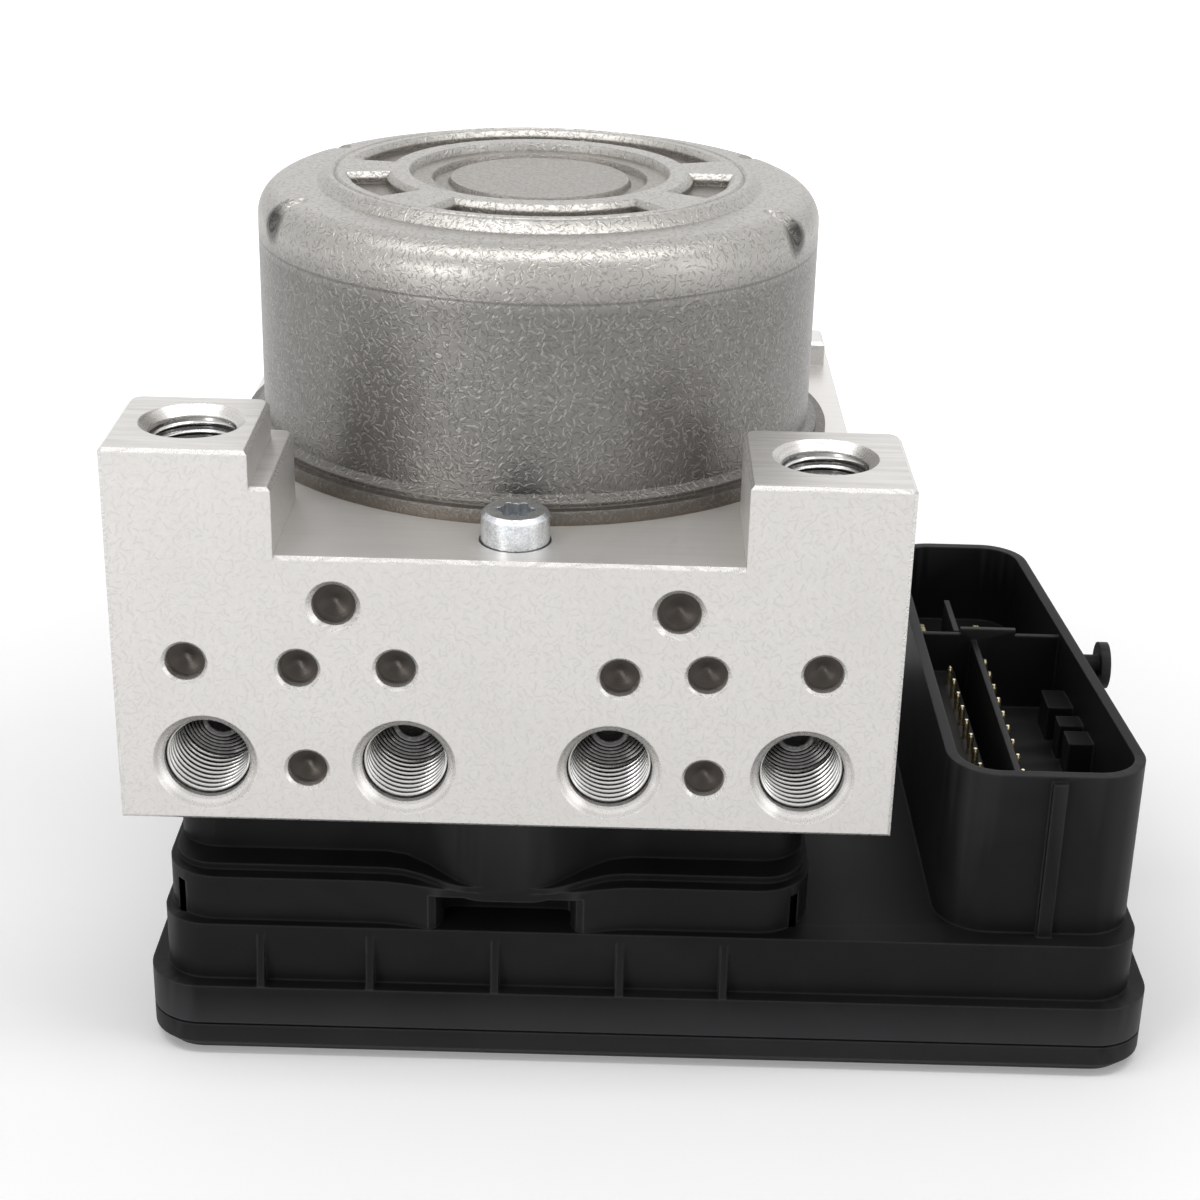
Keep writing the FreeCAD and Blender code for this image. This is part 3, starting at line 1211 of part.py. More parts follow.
def make_pump():
    level = block_bottom + pump_level
    outer = pump_bore - sleeve_clearance
    end = sleeve_start + sleeve_length
    guide = piston_radius + running_clearance
    wall = 2.5
    section = turned_profile([
        (guide, sleeve_start), (outer, sleeve_start), (outer, end), (ball_radius * 0.6, end),
        (ball_radius * 0.6, end - wall), (sleeve_chamber, end - wall),
        (sleeve_chamber, sleeve_start + sleeve_guide), (guide, sleeve_start + sleeve_guide),
    ])
    node(together([turned(section, 0, 0, level, turn) for turn in (RIGHT, LEFT)]), "pump_cylinders")
    tip = ring_radius + eccentricity + piston_gap
    bevel = 0.6
    section = turned_profile([
        (0, tip), (piston_radius - bevel, tip), (piston_radius, tip + bevel),
        (piston_radius, tip + piston_length), (0, tip + piston_length),
    ])
    seat = (ball_radius * ball_radius * 0.64).number ** 0.5
    balls = []
    for way, side, turn in ((1, "right", RIGHT), (-1, "left", LEFT)):
        node(turned(section, 0, 0, level, turn), f"pump_piston_{side}")
        start = tip + piston_length + pump_spring_gap
        coil = spring(pump_spring_radius, pump_spring_wire, end - wall - start - pump_spring_gap,
                      pump_spring_turns, start * way, 0, level, turn)
        node(coil, f"pump_spring_{side}")
        balls.append(sphere(ball_radius, (end + ball_radius * 0.82) * way, 0, level))
    node(together(balls), "pump_check_balls")
    plugs = []
    for side, turn in ((side_right, RIGHT), (-side_left, LEFT)):
        way = 1 if turn is RIGHT else -1
        length = side - end_plug_recess - end_plug_inner
        plug = cylinder(outer, length, end_plug_inner * way, 0, level, turn)
        depth = end_plug_socket_depth
        hole = cylinder(end_plug_socket, depth, (end_plug_inner + length - depth) * way, 0, level, turn)
        plugs.append(cut(plug, [hole]))
    node(together(plugs), "pump_end_plugs")


def make_accumulators():
    level = block_bottom + store_level
    closed = rear_face - store_depth
    radius = store_radius - store_piston_gap
    start = closed + store_rest
    floor = 2.0
    groove = seal_wire * 2 + seal_play * 2
    groove_low = seal_place - groove / 2
    groove_radius = radius - seal_wire * 2
    section = turned_profile([
        (0, 0), (radius, 0), (radius, groove_low), (groove_radius, groove_low),
        (groove_radius, groove_low + groove), (radius, groove_low + groove),
        (radius, store_piston_length), (store_piston_cup, store_piston_length),
        (store_piston_cup, floor), (0, floor),
    ])
    cover_radius = store_radius - sleeve_clearance
    cover_inner = rear_face - store_cover_recess - store_cover_height
    cover = turned_profile([
        (0, 0), (cover_radius, 0), (cover_radius, store_cover_height),
        (cover_radius - 1, store_cover_height), (cover_radius - 2, store_cover_height * 0.6),
        (store_dome, store_cover_height * 0.6), (store_dome - 1, store_cover_height),
        (0, store_cover_height),
    ])
    covers = []
    for x, side in zip(store_columns, ("left", "right")):
        node(turned(section, x, start, level, BACK), f"accumulator_piston_{side}")
        ring = tube(radius, groove_radius + seal_play, seal_wire * 2, x,
                    start + groove_low + seal_play, level, BACK)
        node(ring, f"accumulator_seal_{side}")
        first = start + floor + pump_spring_gap
        coil = spring(store_spring_radius, store_spring_wire, cover_inner - first - pump_spring_gap,
                      store_spring_turns, x, first, level, BACK)
        node(coil, f"accumulator_spring_{side}")
        covers.append(turned(cover, x, cover_inner, level, BACK))
    node(together(covers), "accumulator_covers")


def make_valves():
    bore = armature_gap + 3.05
    tube_low = -dome_length
    hollow_low = tube_low + dome_floor
    hollow = armature_play + armature_length + valve_spring_length + 0.4
    channel = needle_radius + 0.3
    outer = valve_radius - sleeve_clearance
    top = valve_seat_depth - 0.05
    profile = turned_profile([
        (0, tube_low), (dome_radius - dome_wall, tube_low), (dome_radius, tube_low + dome_wall),
        (dome_radius, 0), (outer, 0), (outer, top),
        (channel, top), (channel, hollow_low + hollow), (bore, hollow_low + hollow),
        (bore, hollow_low), (0, hollow_low),
    ])
    armature_low = hollow_low + armature_play
    armature_top = armature_low + armature_length
    armature = turned_profile([
        (0, armature_low), (3.05, armature_low), (3.05, armature_top), (needle_radius, armature_top),
        (needle_radius, armature_top + needle_length), (0, armature_top + needle_length),
    ])
    base = block_bottom
    coil = spring(valve_spring_radius, valve_spring_wire, valve_spring_length - 0.3,
                  valve_spring_turns)
    springs, windings, yokes = [], [], []
    yoke_low = coil_level - yoke_gap - yoke_wall
    yoke_out = coil_radius + yoke_gap
    hole = dome_radius + 0.3
    yoke = turned_profile([
        (hole, 0), (yoke_out + yoke_wall, 0),
        (yoke_out + yoke_wall, coil_length + (yoke_wall + yoke_gap) * 2),
        (hole, coil_length + (yoke_wall + yoke_gap) * 2),
        (hole, coil_length + yoke_wall + yoke_gap * 2),
        (yoke_out, coil_length + yoke_wall + yoke_gap * 2), (yoke_out, yoke_wall),
        (hole, yoke_wall),
    ])
    for kind, y in valve_rows.items():
        shells = [turned(profile, x, y, base) for x in valve_columns]
        node(together(shells), f"{kind}_valves")
        for count, x in enumerate(valve_columns, 1):
            node(turned(armature, x, y, base), f"{kind}_armature_{count}")
            springs.append(copy_of(coil, x, y, base + armature_top + 0.35 + valve_spring_wire / 2))
            windings.append(tube(coil_radius, coil_bore, coil_length, x, y, coil_level))
            yokes.append(turned(yoke, x, y, yoke_low))
    node(together(springs), "valve_springs")
    node(together(windings), "coil_windings")
    node(together(yokes), "coil_yokes")

    body = cylinder(sensor_radius - sleeve_clearance, sensor_depth - 0.05, block_middle, sensor_y, base)
    head = cylinder(sensor_head_radius, sensor_head_length, block_middle, sensor_y,
                    base - sensor_head_length)
    board_top = board_level + board_thickness
    legs = [cylinder(0.6, base - board_top, block_middle + 2.5 * dx, sensor_y + 2.5 * dy, board_top)
            for dx, dy in ((1, 1), (1, -1), (-1, 1), (-1, -1))]
    node(fused([body, head] + legs), "pressure_sensor")


def flange_outline(inset=0, corner=None):
    corner = flange_corner - inset if corner is None else corner
    return rectangle(inset - flange_left, flange_right - inset, inset - flange_front,
                     flange_back - inset, corner)


def shroud_outline(inset=0, front=None, back=None, corner=None):
    """The shroud's outline; its right wall comes in towards the back."""
    front = inset - shroud_front if front is None else front
    back = shroud_back - inset if back is None else back
    corner = shroud_corner - inset if corner is None else corner
    slope = shroud_taper / (shroud_front + shroud_back)
    right_front = shroud_right - inset - slope * (front + shroud_front)
    right_back = shroud_right - inset - slope * (back + shroud_front)
    left = shroud_left + inset
    return [(left, front, corner), (right_front, front, corner), (right_back, back, corner),
            (left, back, corner)]


def make_control_housing():
    wall = housing_wall
    body = new_body("ControlHousing")
    slab(body, flange_outline(), seam_level, flange_height)
    slab(body, flange_outline(flange_step, tier_corner), flange_top, tier_height)
    chamber = rectangle(-chamber_left, chamber_right, -chamber_front, chamber_back, chamber_corner)
    slab(body, chamber, plate_level, coil_height)
    skirt_left, skirt_right = chamber_left + skirt_side, chamber_right + skirt_side
    skirt_front = chamber_front + skirt_reach
    bulge = skirt_front + skirt_bulge
    slab(body, rectangle(-skirt_left, skirt_right, -skirt_front, chamber_back, skirt_corner),
         plate_level, skirt_height)
    slab(body, swell(bulge_foot, bulge_top, -skirt_front, -bulge, bulge_round), plate_level,
         skirt_height)
    raised = skirt_front - skirt_step
    slab(body, rectangle(-chamber_left, chamber_right, -raised, chamber_back, chamber_corner),
         plate_level + skirt_height, skirt_step_height)
    post_front = -post_y - post_radius
    slab(body, swell(post_foot, post_top + bulge_round / 4, -raised, post_front, post_round),
         plate_level + skirt_height, skirt_step_height)
    slab(body, swell(post_foot, post_top, -chamber_front, post_front, post_round), plate_level,
         coil_height)
    slab(body, shroud_outline(), plate_level, shroud_height)

    # Lever pivot and rib outside the shroud
    pivot_level = rim_level - knob_drop
    face = sketch_on(body, "YZ_Plane", divider_x)
    draw_circle(face, knob_stem, -knob_y, pivot_level)
    pad(body, face, knob_end - divider_x)
    face = sketch_on(body, "YZ_Plane", knob_end - knob_head)
    draw_circle(face, knob_radius, -knob_y, pivot_level)
    pad(body, face, knob_head)
    rib_left = front_rib_x - front_rib_width / 2
    slab(body, rectangle(rib_left, rib_left + front_rib_width, -shroud_front - front_rib_reach,
                         2 - shroud_front), plate_level, shroud_height - front_rib_drop)

    # Stiffening ribs between the wall and the flange
    side_ys = [-rib_side_y + rib_side_pitch * step for step in (-1, 0, 1)]
    for role, middles, low, high in (
            ("YZ_Plane", [-rib_1, -rib_2, -rib_3, rib_4, rib_5], -flange_front, flange_back),
            ("XZ_Plane", [-y for y in side_ys], -flange_left, flange_right)):
        for middle in middles:
            face = sketch_on(body, role, middle - rib_thickness / 2)
            for edge, way in ((low, 1), (high, -1)):
                draw_polygon(face, rib_section(edge, way))
            pad(body, face, rib_thickness)

    # Hollows: board space, coil space, skirt, and the space under the socket floor
    plate_under = plate_level - wall
    hollow(body, flange_outline(flange_step + wall, tier_corner - wall), seam_level,
           plate_under - seam_level)
    hollow(body, rectangle(wall - chamber_left, chamber_right - wall, wall - chamber_front,
                           chamber_back - wall, chamber_corner - wall),
           plate_under, coil_height)
    skirt_back = -chamber_front
    clear = recess_width / 2 + wall
    for left, right in ((wall - skirt_left, -post_x - clear), (clear - post_x, skirt_right - wall)):
        hollow(body, rectangle(left, right, wall - skirt_front, skirt_back, wall / 2), plate_under,
               skirt_height)
    floor = plate_level + socket_floor
    hollow(body, shroud_outline(wall), plate_under, socket_floor)
    cross_front = cross_wall_y - divider_wall / 2
    cross_back = cross_wall_y + divider_wall / 2
    depth = shroud_height - socket_floor
    hollow(body, shroud_outline(shroud_wall), floor, depth)

    # Walls inside the socket
    slab(body, shroud_outline(shroud_wall / 2, cross_front, cross_back, 0.2), floor,
         depth - cross_wall_drop)
    slab(body, rectangle(cross_tab_x - cross_tab_width / 2, cross_tab_x + cross_tab_width / 2,
                         cross_front, cross_back), floor, depth)
    slab(body, rectangle(divider_x - divider_wall / 2, divider_x + divider_wall / 2,
                         divider_start - shroud_front, cross_wall_y), floor, depth - divider_drop)
    rear_start = cross_wall_y + rear_wall_start
    slab(body, rectangle(rear_wall_x - divider_wall / 2, rear_wall_x + divider_wall / 2,
                         rear_start, rear_start + rear_wall_length), floor, depth - rear_wall_drop)
    inside, ahead = shroud_left + shroud_wall / 2, shroud_wall / 2 - shroud_front
    slab(body, [
        (inside, ahead, shroud_corner - shroud_wall / 2), (step_floor_right, ahead),
        (step_floor_right, cross_wall_y), (inside, cross_wall_y),
    ], floor, step_floor)
    slope = shroud_taper / (shroud_front + shroud_back)
    for back, length in key_blocks:
        face_x = shroud_right - shroud_wall - slope * (shroud_front - back)
        slab(body, rectangle(face_x - key_reach, face_x + shroud_wall / 2, -back - length, -back),
             floor, depth - key_drop)

    # Bosses for the inserts, and posts that carry the circuit board
    insert_low = block_bottom - insert_drop - insert_length
    boss_low = insert_low - boss_floor
    face = sketch_on(body, "XY_Plane", boss_low)
    for x, y in bolt_places[1:]:
        draw_circle(face, boss_radius, x, y)
    pad(body, face, block_bottom - boss_low)
    board_top = board_level + board_thickness
    for places, top in ((board_posts, plate_under + wall / 2), (tall_posts, insert_low)):
        face = sketch_on(body, "XY_Plane", board_top)
        for x, y in places:
            draw_circle(face, board_post, x, y)
        pad(body, face, top - board_top)

    # Bores from above: inserts, valve domes, the motor's stalk and the sensor
    bores(body, bolt_places, insert_radius + pin_clearance, insert_low, insert_length + insert_drop)
    top_low = block_bottom - wall
    hollow(body, seal_outline(0), block_bottom - seal_depth, seal_depth)
    slab(body, seal_outline(seal_width), block_bottom - seal_depth, seal_depth)
    domes = [(x, y) for y in valve_rows.values() for x in valve_columns]
    face = sketch_on(body, "XY_Plane", top_low)
    for x, y in domes:
        draw_circle(face, dome_radius + dome_hole, x, y)
    draw_circle(face, stalk_hole, -contact_x, -contact_y)
    draw_circle(face, sensor_head_radius + dome_hole, block_middle, sensor_y)
    pocket(body, face, wall, reverse=True)

    # Pins and blades through the socket floor
    floor_low = floor - wall
    bores(body, pin_places(), pin_radius + pin_clearance, floor_low, wall + step_floor)
    for x, y in blade_places():
        half_x, half_y = blade_thickness / 2 + pin_clearance, blade_width / 2 + pin_clearance
        hollow(body, rectangle(x - half_x, x + half_x, y - half_y, y + half_y), floor_low, wall)

    # Recess in the skirt under the front bolt post, with rounded sides
    mouth, half = -bulge, recess_width / 2
    wide = half + recess_round * 2
    outside = mouth - recess_round
    flare = recess_round * (1 - cosine(45))
    right = [
        (wide, outside), (wide, mouth), (half + recess_round, mouth), (half + flare, mouth + flare),
        (half, mouth + recess_round), (half, mouth + recess_depth, recess_round / 2),
    ]
    left = [(-corner[0],) + tuple(corner[1:]) for corner in reversed(right)]
    last = hollow(body, [(corner[0] - post_x,) + tuple(corner[1:]) for corner in right + left],
                  plate_level, recess_height)
    body.Tip = last
    node(body, "control_housing")


def swell(foot, top, wall_y, front_y, rounding):
    """Outline of a part that swells smoothly out of a wall round the front bolt."""
    run, rise = (foot - top) * ease, (front_y - wall_y) * ease
    left = [
        (-foot - run, wall_y - rise), (-foot - run, wall_y), (-foot, wall_y + rise / 4),
        (run - foot, wall_y + rise), (-top, front_y, rounding),
    ]
    right = [(-corner[0],) + tuple(corner[1:]) for corner in reversed(left)]
    return [(corner[0] - post_x,) + tuple(corner[1:]) for corner in left + right]


def rib_section(edge, way):
    """A stiffening rib from the flange's edge up the wall; way points inwards."""
    wall = edge + flange_step * way
    top = flange_top + tier_height - rib_drop
    return [
        (wall + rib_root * way, flange_top), (edge + rib_margin * way, flange_top),
        (wall, top), (wall + rib_root * way, top),
    ]


def seal_outline(inset):
    left = side_left + block_seal_inset + inset
    right = chamber_right - block_seal_inset - inset
    return rectangle(left, right, block_seal_inset + inset - chamber_front, block_seal_back - inset,
                     4 - as_size(inset))


def pin_places():
    places = []
    for x, back in ((left_row_x, left_row_back), (right_row_x, right_row_back)):
        places += [(x, -back - pin_pitch * step) for step in range(pin_count)]
    return places


def blade_places():
    return [(blade_first_x, blade_y), (blade_first_x + blade_pitch, blade_y)]


board_posts = [
    (-post_x, -post_y - 2),
    (size("post_1_x", 50.0, "board post, right of the motor axis"), -post_y),
    (size("post_2_x", 50.0, "board post, right of the motor axis"), rear_bolt_y),
    (size("post_3_x", 84.0, "board post, right of the motor axis"), shroud_back + 1.9),
]
tall_posts = [(3.8 - chamber_left, 3.8 - chamber_front)] + bolt_places[1:]


def make_control_cover():
    body = new_body("ControlCover")
    last = slab(body, flange_outline(), 0, cover_height - seam_gap)
    bevel_edges(body, last, lambda edge: edge.BoundBox.ZMax < 0.01, cover_chamfer)
    slab(body, flange_outline(seam_inset), cover_height - seam_gap, seam_gap)
    hollow(body, flange_outline(cover_rim), cover_wall, cover_height - cover_wall)
    outer = flange_outline(seal_inset)
    inner = flange_outline(seal_inset + seal_width)
    face = sketch_on(body, "XY_Plane", cover_height)
    draw_polygon(face, outer)
    draw_polygon(face, inner)
    groove = pocket(body, face, seal_depth)
    body.Tip = groove
    node(body, "control_cover")

    ring = new_body("CoverSeal")
    face = sketch_on(ring, "XY_Plane", cover_height - seal_depth)
    draw_polygon(face, flange_outline(seal_inset + seal_play))
    draw_polygon(face, flange_outline(seal_inset + seal_width - seal_play))
    ring.Tip = pad(ring, face, seal_depth - seal_play)
    node(ring, "cover_seal")

    ring = new_body("BlockSeal")
    face = sketch_on(ring, "XY_Plane", block_bottom - seal_depth)
    draw_polygon(face, seal_outline(seal_play))
    draw_polygon(face, seal_outline(seal_width - seal_play))
    ring.Tip = pad(ring, face, seal_depth - seal_play)
    node(ring, "block_seal")


def make_board():
    body = new_body("CircuitBoard")
    inset = flange_step + housing_wall + board_margin
    slab(body, flange_outline(inset, 3), board_level, board_thickness)
    bores(body, pin_places(), pin_radius + board_hole, board_level, board_thickness)
    pins = [(-contact_x - contact_pitch / 2, -contact_y), (contact_pitch / 2 - contact_x, -contact_y)]
    last = bores(body, pins, contact_radius + board_hole, board_level, board_thickness)
    for x, y in blade_places():
        half_x, half_y = blade_thickness / 2 + board_hole, blade_width / 2 + board_hole
        last = hollow(body, rectangle(x - half_x, x + half_x, y - half_y, y + half_y), board_level,
                      board_thickness)
    body.Tip = last
    node(body, "circuit_board")

    # Parts soldered to the underside: processor, drivers, coil drivers and capacitors
    chips = [
        (16, 16, 1.8, 10, 26), (10, 14, 2.0, -15, 28), (10, 14, 2.0, -32, 28), (12, 12, 1.6, 34, 22),
        (7, 10, 2.4, -38, -28), (7, 10, 2.4, -22, -28), (7, 10, 2.4, 12, -28), (7, 10, 2.4, 28, -28),
    ]
    pieces = [centred_box(w, d, t, x, y, board_level - t) for w, d, t, x, y in chips]
    for x, y in ((46, -36), (56, -36), (46, 2)):
        pieces.append(cylinder(4.2, 7.5, x, y, board_level - 7.5))
    node(together(pieces), "board_parts")
    low = board_level - 0.8
    tip = rim_level - pin_drop
    profile = turned_profile([
        (0, low), (pin_radius, low), (pin_radius, tip - pin_tip), (pin_radius / 2, tip), (0, tip),
    ])
    node(together([turned(profile, x, y) for x, y in pin_places()]), "connector_pins")
    tip = rim_level - blade_drop
    node(together([centred_box(blade_thickness, blade_width, tip - low, x, y, low)
                   for x, y in blade_places()]), "power_blades")


make_valve_block()
make_plugs()
make_bolts()
make_motor_can()
make_motor_inside()
make_brushes()
make_pump()
make_accumulators()
make_valves()
make_control_housing()
make_control_cover()
make_board()
doc.recompute()

for item in doc.Objects:
    assert not {"Invalid", "Error"} & set(item.State), (item.Name, item.Label, item.State)
os.makedirs("parts", exist_ok=True)
for item in nodes:
    assert not item.Shape.isNull() and item.Shape.isValid(), item.Label
    item.Shape.exportStep(f"parts/{item.Label}.step")
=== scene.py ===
"""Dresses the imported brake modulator: finishes, port threads, stage and camera.

Lengths in the properties and everything that is built are in metres, in the frame of the
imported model. Sizes in the finishes are in millimetres.
"""

import json
import math

import bpy
from bpy.props import FloatProperty, FloatVectorProperty, IntProperty, PointerProperty
from mathutils import Matrix, Vector


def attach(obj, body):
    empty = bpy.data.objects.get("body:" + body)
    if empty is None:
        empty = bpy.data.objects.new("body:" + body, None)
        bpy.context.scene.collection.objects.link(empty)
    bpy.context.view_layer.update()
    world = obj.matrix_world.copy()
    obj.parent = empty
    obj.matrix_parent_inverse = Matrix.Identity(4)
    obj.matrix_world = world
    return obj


bl_info = {
    "name": "Brake modulator finishes",
    "version": (1, 0, 0),
    "blender": (4, 5, 0),
    "location": "3D View > Sidebar > Modulator",
    "description": "Finishes, port threads, stage and camera for a brake modulator",
    "category": "Object",
}

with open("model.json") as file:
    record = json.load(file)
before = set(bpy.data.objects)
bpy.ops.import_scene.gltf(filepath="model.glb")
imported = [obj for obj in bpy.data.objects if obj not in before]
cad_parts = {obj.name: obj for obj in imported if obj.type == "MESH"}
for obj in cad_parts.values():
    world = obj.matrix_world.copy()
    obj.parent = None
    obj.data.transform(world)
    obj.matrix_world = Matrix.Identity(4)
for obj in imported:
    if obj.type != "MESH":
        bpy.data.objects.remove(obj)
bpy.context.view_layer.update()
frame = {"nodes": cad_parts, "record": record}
MM = 0.001


# Places and levels on the model

FRONT_PORTS = ("port_front_1", "port_front_2", "port_front_3", "port_front_4")
TOP_PORTS = ("port_top_left", "port_top_right")
# Heights over which the painted highlight on the valve block's faces that point up fades in; full below
# the lower one.
LEDGE_HIGHLIGHT_LEVELS = (90.0, 84.0)
# Heights over which the brown painted shade in the crease at the can's foot fades in.
FOOT_LEVELS = (85.0, 81.2)
SEAM_LEVEL = 112.0
SEAM_HALF = 0.30
# Heights over which the painted highlight on the can's shoulder fades in.
SHOULDER_LEVELS = (110.5, 116.0)
# Heights and radii of the brown painted shade in the pockets of the can's top.
POCKET_LEVELS = (120.8, 119.4)
POCKET_RADII = (32.2, 31.8)
CRIMP_PATH = 42.3
CRIMP_LEVEL = 116.6
CRIMP_TURNS = (-26, 32, 148, 206)
# Reach of the painted shade round the crimps: full within the second distance, none beyond the first.
CRIMP_REACH = (3.6, 2.2)
FAR = 1000.0


# Colours that no property holds

BRASS = (0.62, 0.48, 0.24)
GROUND_STEEL = (0.60, 0.60, 0.61)
SPRING_STEEL = (0.45, 0.45, 0.46)
CORE_STEEL = (0.33, 0.33, 0.34)
COPPER = (0.62, 0.30, 0.16)
FERRITE = (0.06, 0.06, 0.065)
CARBON = (0.03, 0.03, 0.03)
HOLDER_PLASTIC = (0.08, 0.08, 0.075)
CHIP_BLACK = (0.02, 0.02, 0.02)
RUBBER = (0.02, 0.02, 0.02)
BOARD_GREEN = (0.02, 0.11, 0.05)
PAPER = (0.90, 0.90, 0.90)
PALE_PAPER = (0.92, 0.92, 0.92)
UNLIT = (0.0, 0.0, 0.0)
NEAR_GLOW = (0.15, 0.15, 0.15)
FAR_GLOW = (0.6, 0.6, 0.6)
GLOW_RADII = (110.0, 360.0)


# How pieces are smoothed and cut

WELD_REACH = 0.002 * MM
CRISP_ANGLE = math.radians(28)
SAME_PLACES = 6
EDGE_SAMPLES = 2
# Name of the point attribute that holds the painted brightness of the threads and seats.
CREST = "crest"
# Rows of the thread profile: share of the pitch, share of the depth, and painted brightness from painted
# shade in the root (0) to a painted highlight on the crest (1).
THREAD_PROFILE = (
    (0.0, 0.0, 0.0), (0.28, 0.30, 0.0), (0.34, 0.45, 0.5),
    (0.46, 0.9, 1.0), (0.54, 1.0, 1.0), (0.60, 1.0, 0.1),
)
RUN_IN = 0.35
RUN_OUT = 0.75
# Painted brightness of the raised rings on a port's floor; the rest of the floor gets painted shade.
SEAT_CREST = 0.14


# The stage

FLOOR_HALF = 3.0
LAMPS = (
    ("lamp_top", (0.0, -0.12, 0.95), (0.0, 0.0, 0.08), (1.3, 0.27), 4.6),
    ("lamp_back", (0.0, 1.15, 0.62), (0.0, 0.0, 0.08), (1.5, 0.35), 0.8),
    ("lamp_left", (-0.62, -0.85, 0.30), (0.0, 0.0, 0.07), (0.25, 0.6), 2.6),
    ("lamp_right", (0.95, -0.45, 0.40), (0.03, 0.0, 0.06), (0.25, 0.8), 1.0),
)


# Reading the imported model

def mount(name):
    """Place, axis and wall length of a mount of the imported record."""
    found = next(item for item in frame["record"]["mounts"] if item["name"] == name)
    return Vector(found["pos_m"]), Vector(found["axis"]), found["dims"]["length_mm"] * MM


def shade(color, factor):
    """A lighter or darker tone of a colour."""
    return tuple(min(1.0, part * factor) for part in color)


def crimp_spots():
    """The middles of the crimps round the can's shoulder."""
    turns = [math.radians(turn) for turn in CRIMP_TURNS]
    return [(CRIMP_PATH * math.cos(turn), CRIMP_PATH * math.sin(turn), CRIMP_LEVEL) for turn in turns]


def middles(node):
    """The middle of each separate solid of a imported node."""
    mesh = frame["nodes"][node].data
    parent = list(range(len(mesh.vertices)))

    def root(vertex):
        while parent[vertex] != vertex:
            parent[vertex] = parent[parent[vertex]]
            vertex = parent[vertex]
        return vertex

    same = {}
    for vertex in mesh.vertices:
        key = tuple(round(part, SAME_PLACES) for part in vertex.co)
        parent[vertex.index] = same.setdefault(key, vertex.index)
    for edge in mesh.edges:
        first, second = root(edge.vertices[0]), root(edge.vertices[1])
        parent[second] = first
    groups = {}
    for vertex in mesh.vertices:
        groups.setdefault(root(vertex.index), []).append(vertex.co)
    found = []
    for spots in groups.values():
        low = Vector([min(spot[axis] for spot in spots) for axis in range(3)])
        high = Vector([max(spot[axis] for spot in spots) for axis in range(3)])
        found.append((low + high) / 2)
    return found


# Shader maths

class Wire:
    """One socket of a material's node tree, for use in expressions."""

    def __init__(self, look, socket):
        self.look = look
        self.socket = socket

    def math(self, operation, first, second=0.0):
        settings = {"operation": operation}
        return self.look.node("ShaderNodeMath", settings, {0: first, 1: second})

    def __add__(self, other):
        return self.math("ADD", self, other)

    __radd__ = __add__

    def __sub__(self, other):
        return self.math("SUBTRACT", self, other)

    def __rsub__(self, other):
        return self.math("SUBTRACT", other, self)

    def __mul__(self, other):
        return self.math("MULTIPLY", self, other)

    __rmul__ = __mul__

    def clamped(self):
        """This value, held between 0 and 1."""
        return self.math("MINIMUM", self.math("MAXIMUM", self, 0.0), 1.0)

    def magnitude(self):
        return self.math("ABSOLUTE", self)

    def lower(self, other):
        """The lower of two values."""
        return self.math("MINIMUM", self, other)

    def twin(self, out):
        """Another output of the same node."""
        return Wire(self.look, self.socket.node.outputs[out])


